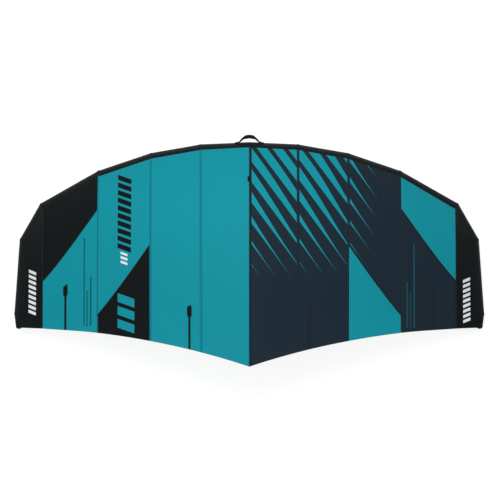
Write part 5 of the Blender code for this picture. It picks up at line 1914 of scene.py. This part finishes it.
def seen_ray(finish):
    """1 for what the camera sees by itself, in a gloss or through glass."""
    kinds = ("Camera", "Glossy", "Transmission")
    seen, gloss, through = [finish.node("LightPath", output=f"Is {kind} Ray") for kind in kinds]
    return seen.or_over(gloss).or_over(through)


def add_floor():
    """White paper under the wing, a little brighter where the camera sees it."""
    floor = Finish("floor_paper", None, 0.9, {"Base Color": FLOOR_TONE})
    glow = floor.node("Emission", (), {"Color": PURE_WHITE, "Strength": FLOOR_GLOW})
    plain = Value(floor, floor.shader.outputs[0])
    share = seen_ray(floor) * FLOOR_GLOW_SHARE
    bright = floor.node("MixShader", (), {0: share, 1: plain, 2: glow})
    floor.tree.links.new(bright.socket, floor.tree.nodes["Material Output"].inputs["Surface"])
    body = bmesh.new()
    bmesh.ops.create_grid(body, x_segments=1, y_segments=1, size=FLOOR_SIZE)
    bmesh.ops.translate(body, vec=(0, 0, FLOOR_LEVEL), verts=body.verts)
    data = mesh_of("floor", body)
    data.materials.append(floor.material)
    piece = in_scene("floor", data)


def light_world():
    """An even, slightly cool light from all round, in front of a plain white background."""
    world = bpy.data.worlds.new("studio")
    bpy.context.scene.world = world
    world.use_nodes = True
    tree = world.node_tree
    plain = tree.nodes["Background"]
    plain.inputs["Color"].default_value = SKY
    plain.inputs["Strength"].default_value = SKY_STRENGTH
    white = tree.nodes.new("ShaderNodeBackground")
    white.inputs["Color"].default_value = PURE_WHITE
    chosen = tree.nodes.new("ShaderNodeMixShader")
    rays = tree.nodes.new("ShaderNodeLightPath")
    tree.links.new(rays.outputs["Is Camera Ray"], chosen.inputs[0])
    tree.links.new(plain.outputs[0], chosen.inputs[1])
    tree.links.new(white.outputs[0], chosen.inputs[2])
    tree.links.new(chosen.outputs[0], tree.nodes["World Output"].inputs["Surface"])
    bpy.context.scene.view_settings.view_transform = "Standard"


# The wing

add_camera()
CANOPY_TEAL = ripstop("canopy_teal_cloth", "canopy_teal", TEAL, dark_on_teal)
CANOPY_NAVY = ripstop("canopy_navy_cloth", "canopy_navy", NAVY, teal_on_navy)
CANOPY_BLACK = ripstop("canopy_black_cloth", "canopy_black", BLACK, bright_on_black)
TEAL_SEAM = stitched(
    "seam_tape_teal", "canopy_teal", SEAM_TEAL, SEAM_TAPE, SEAM_INSET, TEAL_THREAD
)
NAVY_SEAM = stitched("seam_tape_navy", "canopy_navy", SEAM_NAVY, SEAM_TAPE, SEAM_INSET)
DARK_SEAM = stitched("seam_tape_dark", "canopy_black", BLACK, SEAM_TAPE, SEAM_INSET)
HEM = stitched("hem_tape", "webbing", BLACK, HEM_WIDTH)
BAND = stitched("sleeve_tape", "tube_cloth", BLACK, TUBE_BAND)
POCKET_CLOTHS = {
    "left": stitched("pocket_cloth_black", "webbing", BLACK, POCKET_HEAD_HALF * 2),
    "right": stitched("pocket_cloth_navy", "webbing", SEAM_NAVY, POCKET_HEAD_HALF * 2),
}
EDGE = edge_hem("edge_hem_cloth", HEM_COLOURS)
STRAP_TAPE = woven("tab_webbing", "webbing", BLACK, 0.75, 0.0016, 0.1)
WEBBING = woven("strap_webbing", "webbing", STRAP_BLACK, 0.75, 0.002, 0.16)
BRAID = woven("braided_cord", "webbing", CORD_BLACK, 0.7, 0.0012, 0.2)
SLEEVE = woven("sleeve_cloth", "tube_cloth", BLACK, 0.6, 0.0016, 0.05)
WELD = woven("welded_patch", "tube_cloth", WELD_BLACK, 0.5, 0.0011, 0.04)
FOAM = foam("grip_foam_black", CORD_BLACK)
RUBBER = moulded("soft_rubber", "hose_rubber", RUBBER_BLACK, 0.6)
PAD = moulded("pad_rubber_black", "pad_rubber", PAD_BLACK, 0.75, 0.08)
PLASTIC = moulded("valve_plastic_black", "valve_plastic", PLASTIC_BLACK, 0.42, 0.02)
CLIP = moulded("clip_plastic_red", "clip_plastic", CLIP_RED, 0.4, 0.02)
HOSE = moulded("hose_grey", "hose_rubber", HOSE_GREY, 0.45, 0.02)
STEEL = brushed("clamp_steel", STEEL_GREY)
FILM = moulded("bladder_film_clear", "bladder_film", FILM_CLEAR, 0.35, 0.02)
STRIP = moulded("batten_glass_strip", "batten_strip", STRIP_YELLOW, 0.5, 0.05)

CUT_CLOTHS = {
    "left": [CANOPY_TEAL] * 3 + [CANOPY_BLACK] * 2 + [CANOPY_TEAL, CANOPY_BLACK],
    "right": [CANOPY_NAVY] * 3 + [CANOPY_TEAL] * 2 + [CANOPY_NAVY, CANOPY_BLACK],
}
add_hose()
for side, word in SIDES:
    add_canopy(side, word, CUT_CLOTHS[word])
    add_leading_edge(side, word)
add_middle_seam()
add_edges()
add_strut()
add_strut_patches()
add_loop_handle()
add_handles()
add_leash_loop()
add_tip_pads()
add_valve()
dress(FILM, "leading_edge_bladder")
add_floor()
add_lamp()
light_world()
